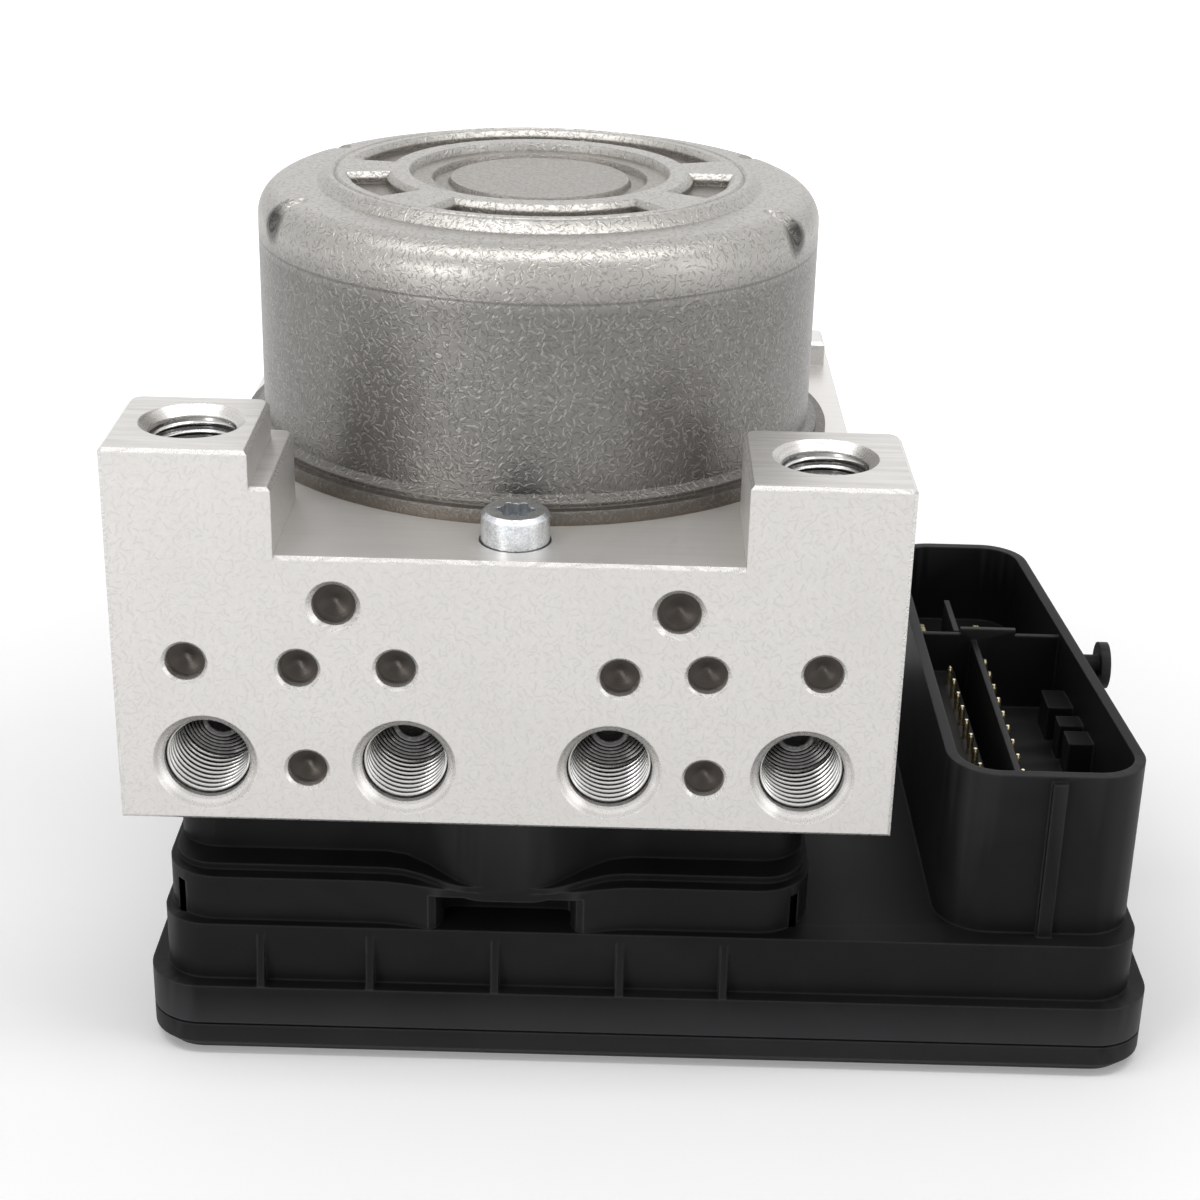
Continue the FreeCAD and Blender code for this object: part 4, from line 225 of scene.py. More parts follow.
class Look:
    """A material under construction, with its shader and output in place."""

    def __init__(self, name):
        self.material = bpy.data.materials.new(name)
        self.material.use_nodes = True
        self.tree = self.material.node_tree
        self.tree.nodes.clear()
        self.shader = self.tree.nodes.new("ShaderNodeBsdfPrincipled")
        output = self.tree.nodes.new("ShaderNodeOutputMaterial")
        self.tree.links.new(self.shader.outputs[0], output.inputs["Surface"])
        self.place = self.scaled(self.node("ShaderNodeTexCoord", out="Object"), 1 / MM)

    def node(self, kind, settings=None, sockets=None, out=0):
        """Adds a node: its settings first, then the values or links of its sockets."""
        made = self.tree.nodes.new(kind)
        for name, value in (settings or {}).items():
            setattr(made, name, value)
        for name, value in (sockets or {}).items():
            self.feed(made.inputs[name], value)
        return Wire(self, made.outputs[out])

    def feed(self, socket, value):
        """Links a wire to a socket, or sets the socket's own value."""
        if isinstance(value, Wire):
            self.tree.links.new(value.socket, socket)
        elif socket.type == "RGBA" and len(value) == 3:
            socket.default_value = (*value, 1.0)
        else:
            socket.default_value = value

    def vector(self, operation, *values):
        """Vector Math on these values."""
        return self.node("ShaderNodeVectorMath", {"operation": operation}, dict(enumerate(values)))

    def scaled(self, vector, factor):
        return self.node("ShaderNodeVectorMath", {"operation": "SCALE"}, {0: vector, "Scale": factor})

    def stretched(self, vector, factors):
        return self.vector("MULTIPLY", vector, factors)

    def mixed(self, first, second, factor):
        """Blends two colours."""
        return self.node("ShaderNodeMix", {"data_type": "RGBA"}, {0: factor, 6: first, 7: second}, out=2)

    def noise(self, size, detail=2.0, roughness=0.5, distortion=0.0, place=None):
        """Noise whose features are about size millimetres wide."""
        return self.node("ShaderNodeTexNoise", {}, {
            "Vector": place or self.place, "Scale": 1 / size, "Detail": detail,
            "Roughness": roughness, "Distortion": distortion,
        })

    def cell_walls(self, size):
        """Distance to the nearest wall between cells that are about size millimetres wide."""
        sockets = {"Vector": self.place, "Scale": 1 / size}
        return self.node("ShaderNodeTexVoronoi", {"feature": "DISTANCE_TO_EDGE"}, sockets, out="Distance")

    def ranged(self, value, low, high):
        """0 where a value is at low, 1 where it is at high, and held there beyond them."""
        return self.node("ShaderNodeMapRange", {"clamp": True}, {
            "Value": value, "From Min": low, "From Max": high, "To Min": 0.0, "To Max": 1.0,
        })

    def part(self, vector, axis):
        return self.node("ShaderNodeSeparateXYZ", {}, {0: vector}, out=axis)

    def facing(self, axis):
        """The surface normal's part along an axis of the frame."""
        return self.part(self.node("ShaderNodeNewGeometry", out="Normal"), axis)

    def slanted(self, axis):
        """1 where the surface slants against an axis, as a turned bevel round it does."""
        lean = self.facing(axis).magnitude()
        return self.ranged(lean, 0.35, 0.45) * self.ranged(lean, 0.90, 0.82)

    def edges(self, width_mm):
        """Near 1 along sharp edges and 0 on open faces."""
        soft = self.node("ShaderNodeBevel", {"samples": EDGE_SAMPLES}, {"Radius": width_mm * MM})
        plain = self.node("ShaderNodeNewGeometry", out="Normal")
        match = self.vector("DOT_PRODUCT", soft, plain).twin("Value")
        return self.ranged(match, 0.98, 0.80)

    def strokes(self, size, width_mm, bend):
        """Short strokes in random directions, one in each cell of a pattern."""
        push = self.noise(size, 0.0).twin("Color")
        shift = self.vector("MULTIPLY_ADD", push, (bend, bend, bend), self.place)
        cell = self.node("ShaderNodeTexVoronoi", {}, {"Vector": shift, "Scale": 1 / size}, out="Distance")
        random = self.vector("SUBTRACT", cell.twin("Color"), (0.5, 0.5, 0.5))
        normal = self.node("ShaderNodeNewGeometry", out="Normal")
        across = self.vector("NORMALIZE", self.vector("CROSS_PRODUCT", normal, random))
        inside = self.vector("SUBTRACT", shift, cell.twin("Position"))
        aside = self.vector("DOT_PRODUCT", inside, across).twin("Value").magnitude()
        return self.ranged(aside, width_mm / 2, width_mm / 4) * self.ranged(cell, 0.62, 0.48)

    def distance(self, place, spots):
        """Distance in millimetres from a place to the nearest of some spots."""
        nearest = FAR
        for spot in spots:
            nearest = self.vector("DISTANCE", place, spot).twin("Value").lower(nearest)
        return nearest

    def rings(self, places, along, width_mm):
        """Turned rings round the nearest of some axes that run along X, Y or Z."""
        keep = tuple(0.0 if axis == along else 1.0 for axis in "XYZ")
        spots = [tuple(value / MM * kept for value, kept in zip(place, keep)) for place in places]
        nearest = self.distance(self.stretched(self.place, keep), spots)
        return self.node("ShaderNodeTexNoise", {"noise_dimensions": "1D"}, {
            "W": nearest, "Scale": 1 / width_mm, "Detail": 1.0, "Roughness": 0.6,
        })

    def bump(self, height, strength, distance_mm, edge_mm=0.0):
        """Fine relief, over edges that are rounded by edge_mm."""
        sockets = {"Height": height, "Strength": strength, "Distance": distance_mm * MM}
        if edge_mm:
            radius = {"Radius": edge_mm * MM}
            sockets["Normal"] = self.node("ShaderNodeBevel", {"samples": EDGE_SAMPLES}, radius)
        self.feed(self.shader.inputs["Normal"], self.node("ShaderNodeBump", {}, sockets, out="Normal"))

    def finish(self, **sockets):
        """Sets the shader's own sockets, such as Base_Color."""
        for name, value in sockets.items():
            self.feed(self.shader.inputs[name.replace("_", " ")], value)
        return self.material


# Finishes

def blasted_aluminium(colors):
    """Machined and blasted aluminium: fine strokes, streaks on the faces that point up, a painted
    highlight on the low faces that point up and painted highlights along the edges.
    """
    look = Look("blasted_aluminium")
    metal = tuple(colors.aluminium)
    strokes = look.strokes(1.1, 0.32, 0.8)
    grain = look.ranged(look.noise(0.5, 2.0, 0.6, 0.8), 0.35, 0.65)
    cloud = look.ranged(look.noise(16.0, 2.0), 0.4, 0.75)
    streak = look.noise(0.9, 3.0, 0.6, 0.2, look.stretched(look.place, (0.06, 1.0, 1.0)))
    up = look.ranged(look.facing("Z"), 0.9, 0.98)
    bevel = (look.slanted("Y") + look.slanted("Z")).clamped()
    ports = [mount(name)[0] for name in FRONT_PORTS]
    turned = look.ranged(look.rings(ports, "Y", 0.45), 0.35, 0.65)
    light = look.mixed(metal, shade(metal, 0.86), grain * 0.4)
    light = look.mixed(light, shade(metal, 0.74), strokes * 0.35)
    light = look.mixed(light, shade(metal, 0.90), cloud * 0.4)
    streaked = look.mixed(metal, shade(metal, 0.8), look.ranged(streak, 0.35, 0.7))
    ringed = look.mixed(shade(metal, 1.05), shade(metal, 0.85), turned)
    # Painted highlight: faces that point up, below these heights, are painted lighter.
    ledge_highlight = up * look.ranged(look.part(look.place, "Z"), *LEDGE_HIGHLIGHT_LEVELS)
    color = look.mixed(look.mixed(light, streaked, up), shade(metal, 1.25), ledge_highlight * 0.7)
    color = look.mixed(color, ringed, bevel)
    relief = (grain * 0.4 + strokes * 0.6) * (1 - up) + streak * up * 0.7
    look.bump(relief * (1 - bevel), 0.3, 0.035, 0.25)
    # Painted highlight along the edges, except on the turned bevels.
    return look.finish(
        Base_Color=look.mixed(color, shade(metal, 1.3), look.edges(0.12) * (1 - bevel) * 0.4),
        Metallic=0.72,
        Roughness=0.46 + grain * 0.06 - up * 0.08 - bevel * 0.2,
    )


def drawn_steel(colors):
    """Deep-drawn motor can: short strokes, a seam under the shoulder, a painted highlight on the shoulder,
    brown painted shade at the foot and in the pockets, painted shade in the crimps and painted highlights
    along the edges.
    """
    look = Look("drawn_steel")
    metal = tuple(colors.can_steel)
    strokes = look.strokes(1.05, 0.32, 0.9)
    dents = look.strokes(0.90, 0.28, 0.8)
    fine = look.noise(0.35, 2.0, 0.6)
    cloud = look.ranged(look.noise(9.0, 3.0, 0.6), 0.42, 0.62)
    height = look.part(look.place, "Z")
    foot = look.ranged(height, *FOOT_LEVELS)
    seam = look.ranged((height - SEAM_LEVEL).magnitude(), SEAM_HALF, 0.0)
    steel = look.mixed(metal, shade(metal, 0.84), look.ranged(fine, 0.35, 0.65) * 0.6)
    steel = look.mixed(steel, shade(metal, 1.12), cloud * 0.4)
    steel = look.mixed(steel, shade(metal, 2.0), strokes * 0.45)
    # Painted highlight on the shoulder.
    steel = look.mixed(steel, shade(metal, 2.7), look.ranged(height, *SHOULDER_LEVELS) * 0.75)
    steel = look.mixed(steel, shade(metal, 0.5), dents * 0.35)
    # Brown painted shade in the crease at the foot, where the can meets the flange.
    steel = look.mixed(steel, tuple(colors.can_hollow_shade), foot * 0.8)
    steel = look.mixed(steel, shade(metal, 0.55), seam * 0.6)
    out = look.vector("LENGTH", look.stretched(look.place, (1.0, 1.0, 0.0))).twin("Value")
    # Brown painted shade in the pockets of the top.
    pocket_shade = look.ranged(height, *POCKET_LEVELS) * look.ranged(out, *POCKET_RADII)
    steel = look.mixed(steel, tuple(colors.can_hollow_shade), pocket_shade * 0.55)
    # Painted shade in and round the crimps.
    crimps = look.ranged(look.distance(look.place, crimp_spots()), *CRIMP_REACH)
    steel = look.mixed(steel, shade(metal, 0.12), crimps * 0.85)
    look.bump(strokes * 0.8 - dents * 0.6 + fine * 0.3 - seam, 0.7, 0.06, 0.4)
    # Painted highlight along the edges.
    return look.finish(
        Base_Color=look.mixed(steel, shade(metal, 1.35), look.edges(0.25) * 0.4),
        Metallic=0.95,
        Roughness=0.33 + look.ranged(fine, 0.3, 0.7) * 0.10 + foot * 0.1,
    )


def moulded_plastic(name, color, gloss):
    """Glass-filled plastic: satin skin with very fine grain, faint flow marks and a painted sheen along
    the edges and on curved parts.
    """
    look = Look(name)
    skin = look.noise(0.22, 2.0, 0.6)
    flow = look.noise(22.0, 3.0, 0.6, 0.6)
    dust = look.ranged(look.noise(0.8, 3.0, 0.7), 0.62, 0.80)
    black = look.mixed(color, shade(color, 1.5), look.ranged(flow, 0.4, 0.7))
    black = look.mixed(black, shade(color, 2.0), dust * 0.3)
    # Painted sheen: lighter along sharp edges and on curved parts, standing in for highlights there.
    bend = look.node("ShaderNodeNewGeometry", out="Pointiness")
    edge_sheen = (look.edges(0.45) + look.ranged(bend, 0.53, 0.66) * 0.5).clamped()
    look.bump(skin, 0.18, 0.03, 0.5)
    return look.finish(
        Base_Color=look.mixed(black, shade(color, 9.0), edge_sheen * 0.9),
        Metallic=0.0,
        Specular_IOR_Level=0.10,
        Roughness=gloss + look.ranged(flow, 0.3, 0.7) * 0.08 + skin * 0.06,
    )


def turned_steel(name, color, roughness, places=(), along="Z"):
    """Turned metal, with rings round the axes of its pieces where they are given, and a painted highlight
    along its edges.
    """
    look = Look(name)
    cloud = look.noise(2.2, 2.0)
    fine = look.rings(places, along, 0.13) if places else look.noise(0.3, 2.0, 0.5, 0.4)
    cut = look.ranged(fine, 0.35, 0.65)
    tone = look.mixed(color, shade(color, 0.55), cut * 0.7)
    tone = look.mixed(tone, shade(color, 1.3), look.ranged(cloud, 0.5, 0.8) * 0.5)
    # Painted highlight along the edges: a bright crescent on the rims of the plugs, fainter on the other
    # pieces.
    rim_highlight = shade(color, 7.0 if places else 2.2)
    look.bump(cut, 0.3, 0.03, 0.15)
    return look.finish(
        Base_Color=look.mixed(tone, rim_highlight, look.edges(0.3) * 0.7),
        Metallic=0.95,
        Roughness=roughness + fine * 0.10,
    )


def cut_thread(colors):
    """Thread metal: a painted highlight on the crests and painted shade in the roots."""
    look = Look("cut_thread")
    metal = tuple(colors.thread)
    crest = look.node("ShaderNodeAttribute", {"attribute_name": CREST}, {}, "Fac")
    fine = look.noise(0.5, 2.0, 0.5)
    # Painted shade in the roots and a painted highlight on the crests, from each point's painted
    # brightness.
    tone = look.mixed(shade(metal, 0.10), metal, crest)
    look.bump(fine, 0.1, 0.02)
    return look.finish(
        Base_Color=look.mixed(tone, shade(metal, 0.6), look.ranged(fine, 0.5, 0.7) * 0.2),
        Metallic=0.95,
        Roughness=0.20 + fine * 0.08,
    )


def rubber_skin(name, color):
    """Dull rubber, carbon or ferrite with a fine skin."""
    look = Look(name)
    fine = look.noise(0.4, 2.0)
    look.bump(fine, 0.3, 0.03)
    return look.finish(
        Base_Color=look.mixed(color, shade(color, 1.6), fine),
        Roughness=0.62 + fine * 0.1,
    )


def lacquered_board(color):
    """Green lacquer over copper tracks and woven glass."""
    look = Look("lacquered_board")
    weave = look.noise(0.9, 2.0)
    tracks = look.ranged(look.cell_walls(2.4), 0.03, 0.08)
    woven = look.mixed(color, shade(color, 0.8), weave)
    look.bump(tracks, 0.2, 0.03)
    return look.finish(
        Base_Color=look.mixed(shade(color, 1.7), woven, tracks),
        Roughness=0.32 + weave * 0.1,
    )


# Settings

class FinishColors(bpy.types.PropertyGroup):
    """The colours of the finishes."""

    aluminium: FloatVectorProperty(
        name="Aluminium", description="Valve block", subtype="COLOR", size=3,
        default=(0.68, 0.663, 0.642), min=0, max=1)
    can_steel: FloatVectorProperty(
        name="Can steel", description="Motor can", subtype="COLOR", size=3,
        default=(0.185, 0.179, 0.169), min=0, max=1)
    # Brown painted shade for the crease at the can's foot and the pockets of its top.
    can_hollow_shade: FloatVectorProperty(
        name="Can foot", description="Darker metal at the can's foot and flange", subtype="COLOR", size=3,
        default=(0.12, 0.098, 0.078), min=0, max=1)
    plug: FloatVectorProperty(
        name="Plug steel", description="Channel plugs", subtype="COLOR", size=3,
        default=(0.060, 0.053, 0.047), min=0, max=1)
    zinc: FloatVectorProperty(
        name="Zinc", description="Bolts and covers", subtype="COLOR", size=3,
        default=(0.72, 0.74, 0.76), min=0, max=1)
    thread: FloatVectorProperty(
        name="Thread", description="Cut threads of the ports", subtype="COLOR", size=3,
        default=(0.86, 0.85, 0.83), min=0, max=1)
    plastic: FloatVectorProperty(
        name="Black plastic", description="Housing of the control unit", subtype="COLOR", size=3,
        default=(0.0085, 0.0085, 0.009), min=0, max=1)
    cover: FloatVectorProperty(
        name="Cover plastic", description="Cover of the control unit", subtype="COLOR", size=3,
        default=(0.0085, 0.0085, 0.009), min=0, max=1)
    pin: FloatVectorProperty(
        name="Pins", description="Plated connector pins", subtype="COLOR", size=3,
        default=(0.83, 0.70, 0.42), min=0, max=1)


class ThreadSizes(bpy.types.PropertyGroup):
    """The threads of the pipe ports."""

    radius: FloatProperty(
        name="Outer radius", description="Root radius of the cut thread", unit="LENGTH",
        default=5.985 * MM, min=0.0)
    depth: FloatProperty(
        name="Thread depth", description="How far the crests stand in from the root", unit="LENGTH",
        default=0.50 * MM, min=0.0)
    pitch: FloatProperty(
        name="Pitch", description="Distance between the turns", unit="LENGTH",
        default=1.25 * MM, min=0.0)
    end: FloatProperty(
        name="End", description="Plain wall below the last turn", unit="LENGTH",
        default=0.9 * MM, min=0.0)
    channel: FloatProperty(
        name="Channel", description="Radius of the channel in the floor of a port", unit="LENGTH",
        default=2.2 * MM, min=0.0)
    ring: FloatProperty(
        name="Ring", description="Distance between the turned rings of the floor", unit="LENGTH",
        default=0.55 * MM, min=0.0)
    ring_height: FloatProperty(
        name="Ring height", description="Height of the turned rings of the floor", unit="LENGTH",
        default=0.15 * MM, min=0.0)
    lift: FloatProperty(
        name="Lift", description="Distance of the rings' foot from the floor", unit="LENGTH",
        default=0.02 * MM, min=0.0)
    steps: IntProperty(
        name="Steps", description="Steps round one turn", default=48, min=12, max=96)


class StageSizes(bpy.types.PropertyGroup):
    """The camera and the lamps."""

    lens: FloatProperty(
        name="Lens", description="Focal length on a 36 mm sensor", unit="CAMERA",
        default=67.08, min=10, max=300)
    camera: FloatVectorProperty(
        name="Camera", description="Place of the camera", subtype="TRANSLATION", unit="LENGTH", size=3,
        default=(11.8 * MM, -334.1 * MM, 195.1 * MM))
    yaw: FloatProperty(
        name="Yaw", description="Turn of the camera about Z", subtype="ANGLE",
        default=math.radians(-0.2025))
    pitch: FloatProperty(
        name="Pitch", description="Tilt of the camera", subtype="ANGLE",
        default=math.radians(-23.3521))
    roll: FloatProperty(
        name="Roll", description="Turn of the camera about its view", subtype="ANGLE",
        default=math.radians(1.4162))
    world: FloatProperty(
        name="World", description="Strength of the surroundings as a light", subtype="FACTOR",
        default=0.42, min=0.0, max=2.0)


class ModulatorSettings(bpy.types.PropertyGroup):
    """All settings of the modulator."""

    colors: PointerProperty(type=FinishColors, name="Colours", description="Colours of the finishes")
    thread: PointerProperty(type=ThreadSizes, name="Threads", description="Threads of the ports")
    stage: PointerProperty(type=StageSizes, name="Stage", description="Camera and lamps")


# Dressing and making pieces

def new_piece(name, points, faces, material, body="hydraulic_unit"):
    """A mesh object that rides on a body."""
    mesh = bpy.data.meshes.new(name)
    mesh.from_pydata([tuple(p) for p in points], [], faces)
    mesh.validate()
    mesh.update()
    mesh.materials.append(material)
    for face in mesh.polygons:
        face.use_smooth = True
    piece = bpy.data.objects.new(name, mesh)
    bpy.context.scene.collection.objects.link(piece)
    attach(piece, body)
    return piece


def dress(node, material):
    """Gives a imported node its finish, smooth over its facets and crisp at its edges."""
    item = frame["nodes"][node]
    item.data.materials.clear()
    item.data.materials.append(material)
    for face in item.data.polygons:
        face.use_smooth = True
        face.material_index = 0
    weld = item.modifiers.new("weld", "WELD")
    weld.merge_threshold = WELD_REACH
    crisp(item)


def crisp(item):
    """Keeps the edges of a smooth-shaded mesh crisp."""
    split = item.modifiers.new("crisp_edges", "EDGE_SPLIT")
    split.split_angle = CRISP_ANGLE
    split.use_edge_sharp = False


def turned_to(axis):
    """The rotation that takes +Z to this axis."""
    return Vector((0, 0, 1)).rotation_difference(axis).to_matrix().to_4x4()


def link_nodes(tree, *pairs):
    """Links outputs to inputs."""
    for output, socket in pairs:
        tree.links.new(output, socket)


# Operators

class MODULATOR_OT_metal(bpy.types.Operator):
    """Finish the valve block, the motor can, the bolts and the plugs"""
    bl_idname = "modulator.metal"
    bl_label = "Finish metal parts"

    def execute(self, context):
        colors = context.scene.modulator.colors
        dress("valve_block", blasted_aluminium(colors))
        dress("motor_can", drawn_steel(colors))
        zinc = turned_steel("zinc_plate", tuple(colors.zinc), 0.24)
        for node in ("channel_plugs", "large_channel_plugs"):
            dress(node, turned_steel(node, tuple(colors.plug), 0.26, middles(node), "Y"))
        for node in ("through_bolts", "accumulator_covers", "pump_end_plugs", "motor_end_plate"):
            dress(node, zinc)
        return {"FINISHED"}


class MODULATOR_OT_plastic(bpy.types.Operator):
    """Finish the control unit's housing and cover"""
    bl_idname = "modulator.plastic"
    bl_label = "Finish plastic parts"

    def execute(self, context):
        colors = context.scene.modulator.colors
        dress("control_housing", moulded_plastic("housing_plastic", tuple(colors.plastic), 0.40))
        dress("control_cover", moulded_plastic("cover_plastic", tuple(colors.cover), 0.44))
        return {"FINISHED"}


class MODULATOR_OT_inside(bpy.types.Operator):
    """Finish the pieces inside, which show only when the part is opened"""
    bl_idname = "modulator.inside"
    bl_label = "Finish inner parts"

    def execute(self, context):
        colors = context.scene.modulator.colors
        slots = {item["node"]: item["material_slot"] for item in frame["record"]["subparts"]}
        finishes = {
            "pin_brass": turned_steel("plated_pins", tuple(colors.pin), 0.20),
            "insert_brass": turned_steel("turned_brass", BRASS, 0.30),
            "ground_steel": turned_steel("ground_steel", GROUND_STEEL, 0.26),
            "spring_steel": turned_steel("spring_wire", SPRING_STEEL, 0.34),
            "core_steel": turned_steel("core_sheet", CORE_STEEL, 0.42),
            "copper": turned_steel("enamelled_copper", COPPER, 0.35),
            "magnet_ferrite": rubber_skin("magnet_ferrite", FERRITE),
            "carbon": rubber_skin("carbon_brush", CARBON),
            "holder_plastic": moulded_plastic("holder_plastic", HOLDER_PLASTIC, 0.5),
            "chip_black": moulded_plastic("chip_black", CHIP_BLACK, 0.5),
            "rubber": rubber_skin("seal_rubber", RUBBER),
            "board_green": lacquered_board(BOARD_GREEN),
            "block_aluminium": blasted_aluminium(colors),
        }
        done = {"valve_block", "motor_can", "channel_plugs", "large_channel_plugs", "through_bolts",
                "accumulator_covers", "pump_end_plugs", "motor_end_plate", "control_housing",
                "control_cover"}
        for node, slot_name in sorted(slots.items()):
            if node not in done:
                dress(node, finishes[slot_name])
        return {"FINISHED"}


class MODULATOR_OT_threads(bpy.types.Operator):
    """Cut the helical threads and turned seats of the six pipe ports"""
    bl_idname = "modulator.threads"
    bl_label = "Cut port threads"

    def execute(self, context):
        sizes = context.scene.modulator.thread
        metal = cut_thread(context.scene.modulator.colors)
        for name in FRONT_PORTS + TOP_PORTS:
            place, axis, length = mount(name)
            turn = Matrix.Translation(place) @ turned_to(axis)
            for kind, sheet in (("thread_", thread_sheet), ("seat_", seat_sheet)):
                points, faces, crests = sheet(sizes, length)
                piece = new_piece(kind + name, [turn @ p for p in points], faces, metal)
                layer = piece.data.attributes.new(CREST, "FLOAT", "POINT")
                layer.data.foreach_set("value", crests)
                crisp(piece)
        return {"FINISHED"}


def thread_sheet(sizes, length):
    """Points, faces and crests of a cut thread that runs down a hole from its mouth, along -Z.

    Each row of the profile holds a share of the pitch, a share of the depth and its painted brightness: 1
    for a painted highlight, 0 for painted shade.
    """
    steps, rows = sizes.steps, len(THREAD_PROFILE)
    total = int((length - sizes.end) / sizes.pitch * steps)
    points, faces, crests = [], [], []
    for step in range(total + 1):
        angle = 2 * math.pi * step / steps
        start = min(1.0, step / (steps * RUN_IN))
        end = min(1.0, (total - step) / (steps * RUN_OUT))
        for along, height, crest in THREAD_PROFILE:
            radius = sizes.radius - sizes.depth * height * start * end
            z = -sizes.pitch * (step / steps + along)
            points.append(Vector((radius * math.cos(angle), radius * math.sin(angle), z)))
            # The run-in at the mouth is painted bright.
            crests.append(max(crest, 1.0 - start))
    for step in range(total):
        for row in range(rows):
            if row + 1 < rows:
                a, b = step * rows + row, step * rows + row + 1
                faces.append((a, a + rows, b + rows, b))
            elif step + 1 + steps <= total:
                a, b = step * rows + row, (step + steps) * rows
                faces.append((a, a + rows, b + rows, b))
    return points, faces, crests


def seat_sheet(sizes, length):
    """Points, faces and crests of the turned rings on the floor of a port, round its channel."""
    count = int((sizes.radius - sizes.channel) / sizes.ring)
    steps = sizes.steps
    points, faces, crests = [], [], []
    for ring in range(2 * count + 1):
        radius = sizes.radius - ring * sizes.ring / 2
        rise = sizes.ring_height if ring % 2 else 0.0
        for step in range(steps):
            angle = 2 * math.pi * step / steps
            z = sizes.lift + rise - length
            points.append(Vector((radius * math.cos(angle), radius * math.sin(angle), z)))
            crests.append(SEAT_CREST if ring % 2 else 0.0)
    inner = sizes.channel - sizes.lift
    for depth in (length, length + sizes.channel):
        for step in range(steps):
            angle = 2 * math.pi * step / steps
            points.append(Vector((inner * math.cos(angle), inner * math.sin(angle), -depth)))
            crests.append(0.0)
    for ring in range(2 * count + 2):
        for step in range(steps):
            a, b = ring * steps + step, ring * steps + (step + 1) % steps
            faces.append((a, b, b + steps, a + steps))
    faces.append(tuple(range((2 * count + 2) * steps, (2 * count + 3) * steps)))
    return points, faces, crests


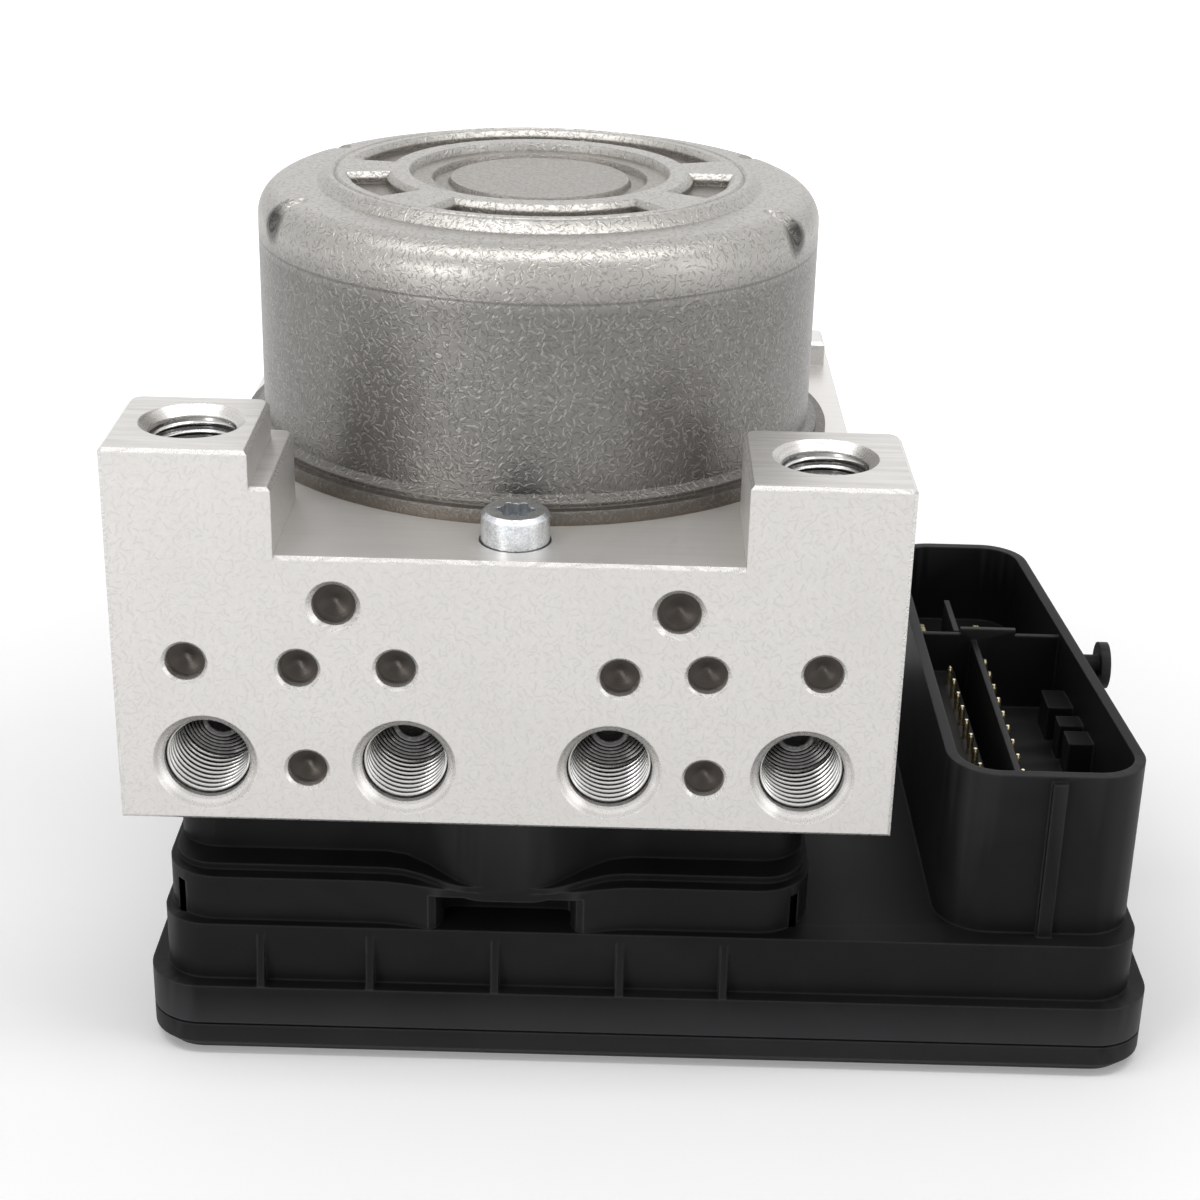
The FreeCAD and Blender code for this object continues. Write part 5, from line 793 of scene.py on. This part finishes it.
class MODULATOR_OT_stage(bpy.types.Operator):
    """Set up the floor, the lamps, the surroundings and the camera"""
    bl_idname = "modulator.stage"
    bl_label = "Set up the stage"

    def execute(self, context):
        scene = context.scene
        stage = scene.modulator.stage
        scene.view_settings.view_transform = "Standard"
        self.make_floor()
        self.make_world(scene, stage.world)
        for name, place, target, size, energy in LAMPS:
            self.make_lamp(name, Vector(place), Vector(target), size, energy)
        self.make_camera(scene, stage)
        return {"FINISHED"}

    @staticmethod
    def make_floor():
        """A pale floor that keeps the object's shadow, with a painted glow that is brighter far from the
        object and dimmer near it.
        """
        half = FLOOR_HALF
        mesh = bpy.data.meshes.new("floor")
        corners = [(-half, -half, 0), (half, -half, 0), (half, half, 0), (-half, half, 0)]
        mesh.from_pydata(corners, [], [(0, 1, 2, 3)])
        floor = bpy.data.objects.new("floor", mesh)
        bpy.context.scene.collection.objects.link(floor)
        look = Look("studio_floor")
        camera_ray = look.node("ShaderNodeLightPath", out="Is Camera Ray")
        glossy_ray = look.node("ShaderNodeLightPath", out="Is Glossy Ray")
        seen = (camera_ray + glossy_ray).clamped()
        paper = look.noise(30.0, 2.0)
        out = look.vector("LENGTH", look.place).twin("Value")
        glow = look.mixed(NEAR_GLOW, FAR_GLOW, look.ranged(out, *GLOW_RADII))
        mesh.materials.append(look.finish(
            Base_Color=look.mixed(PAPER, PALE_PAPER, paper),
            Roughness=0.9,
            Specular_IOR_Level=0.1,
            Emission_Color=look.mixed(UNLIT, glow, seen),
            Emission_Strength=1.0,
        ))

    @staticmethod
    def make_world(scene, strength):
        """White to the camera and in metal and glass, and dimmer as a light on the object."""
        world = bpy.data.worlds.new("studio")
        scene.world = world
        world.use_nodes = True
        tree = world.node_tree
        tree.nodes.clear()
        out = tree.nodes.new("ShaderNodeOutputWorld")
        rays = tree.nodes.new("ShaderNodeLightPath")
        felt = tree.nodes.new("ShaderNodeBackground")
        seen = tree.nodes.new("ShaderNodeBackground")
        felt.inputs["Strength"].default_value = strength
        seen.inputs["Strength"].default_value = 1.0
        for background in (felt, seen):
            background.inputs["Color"].default_value = (1, 1, 1, 1)
        share = rays.outputs["Is Camera Ray"]
        for name in ("Is Glossy Ray", "Is Transmission Ray"):
            most = tree.nodes.new("ShaderNodeMath")
            most.operation = "MAXIMUM"
            link_nodes(tree, (share, most.inputs[0]), (rays.outputs[name], most.inputs[1]))
            share = most.outputs[0]
        mix = tree.nodes.new("ShaderNodeMixShader")
        link_nodes(tree, (share, mix.inputs[0]), (felt.outputs[0], mix.inputs[1]),
                   (seen.outputs[0], mix.inputs[2]), (mix.outputs[0], out.inputs["Surface"]))

    @staticmethod
    def make_lamp(name, place, target, size, energy):
        """A soft rectangular lamp that points at a target."""
        lamp = bpy.data.lights.new(name, "AREA")
        lamp.shape = "RECTANGLE"
        lamp.size, lamp.size_y = size
        lamp.energy = energy
        item = bpy.data.objects.new(name, lamp)
        item.location = place
        item.rotation_euler = (target - place).to_track_quat("-Z", "Y").to_euler()
        bpy.context.scene.collection.objects.link(item)

    @staticmethod
    def make_camera(scene, stage):
        """The camera of the photograph."""
        data = bpy.data.cameras.new("camera")
        data.sensor_width = 36.0
        data.sensor_fit = "AUTO"
        data.lens = stage.lens
        data.clip_start = 0.01
        data.clip_end = 20.0
        camera = bpy.data.objects.new("camera", data)
        scene.collection.objects.link(camera)
        level = math.cos(stage.pitch)
        forward = Vector((math.sin(stage.yaw) * level, math.cos(stage.yaw) * level, math.sin(stage.pitch)))
        right = Vector((math.cos(stage.yaw), -math.sin(stage.yaw), 0))
        up = right.cross(forward)
        side = right * math.cos(stage.roll) + up * math.sin(stage.roll)
        top = up * math.cos(stage.roll) - right * math.sin(stage.roll)
        turn = Matrix((side, top, -forward)).transposed()
        camera.matrix_world = Matrix.Translation(Vector(stage.camera)) @ turn.to_4x4()
        scene.camera = camera


class MODULATOR_PT_panel(bpy.types.Panel):
    """Lists the modulator's settings and steps"""
    bl_idname = "MODULATOR_PT_panel"
    bl_label = "Modulator"
    bl_space_type = "VIEW_3D"
    bl_region_type = "UI"
    bl_category = "Modulator"

    def draw(self, context):
        settings = context.scene.modulator
        for group in (settings.colors, settings.thread, settings.stage):
            box = self.layout.box()
            for name in group.__annotations__:
                box.prop(group, name)
        for operator in STEPS:
            self.layout.operator(operator.bl_idname)


STEPS = (MODULATOR_OT_stage, MODULATOR_OT_metal, MODULATOR_OT_plastic, MODULATOR_OT_inside,
         MODULATOR_OT_threads)
CLASSES = (FinishColors, ThreadSizes, StageSizes, ModulatorSettings, *STEPS, MODULATOR_PT_panel)


def register():
    for item in CLASSES:
        bpy.utils.register_class(item)
    bpy.types.Scene.modulator = PointerProperty(type=ModulatorSettings)


def unregister():
    del bpy.types.Scene.modulator
    for item in reversed(CLASSES):
        bpy.utils.unregister_class(item)


def main():
    register()
    bpy.ops.modulator.stage()
    bpy.ops.modulator.metal()
    bpy.ops.modulator.plastic()
    bpy.ops.modulator.inside()
    bpy.ops.modulator.threads()


if __name__ == "__main__":
    main()
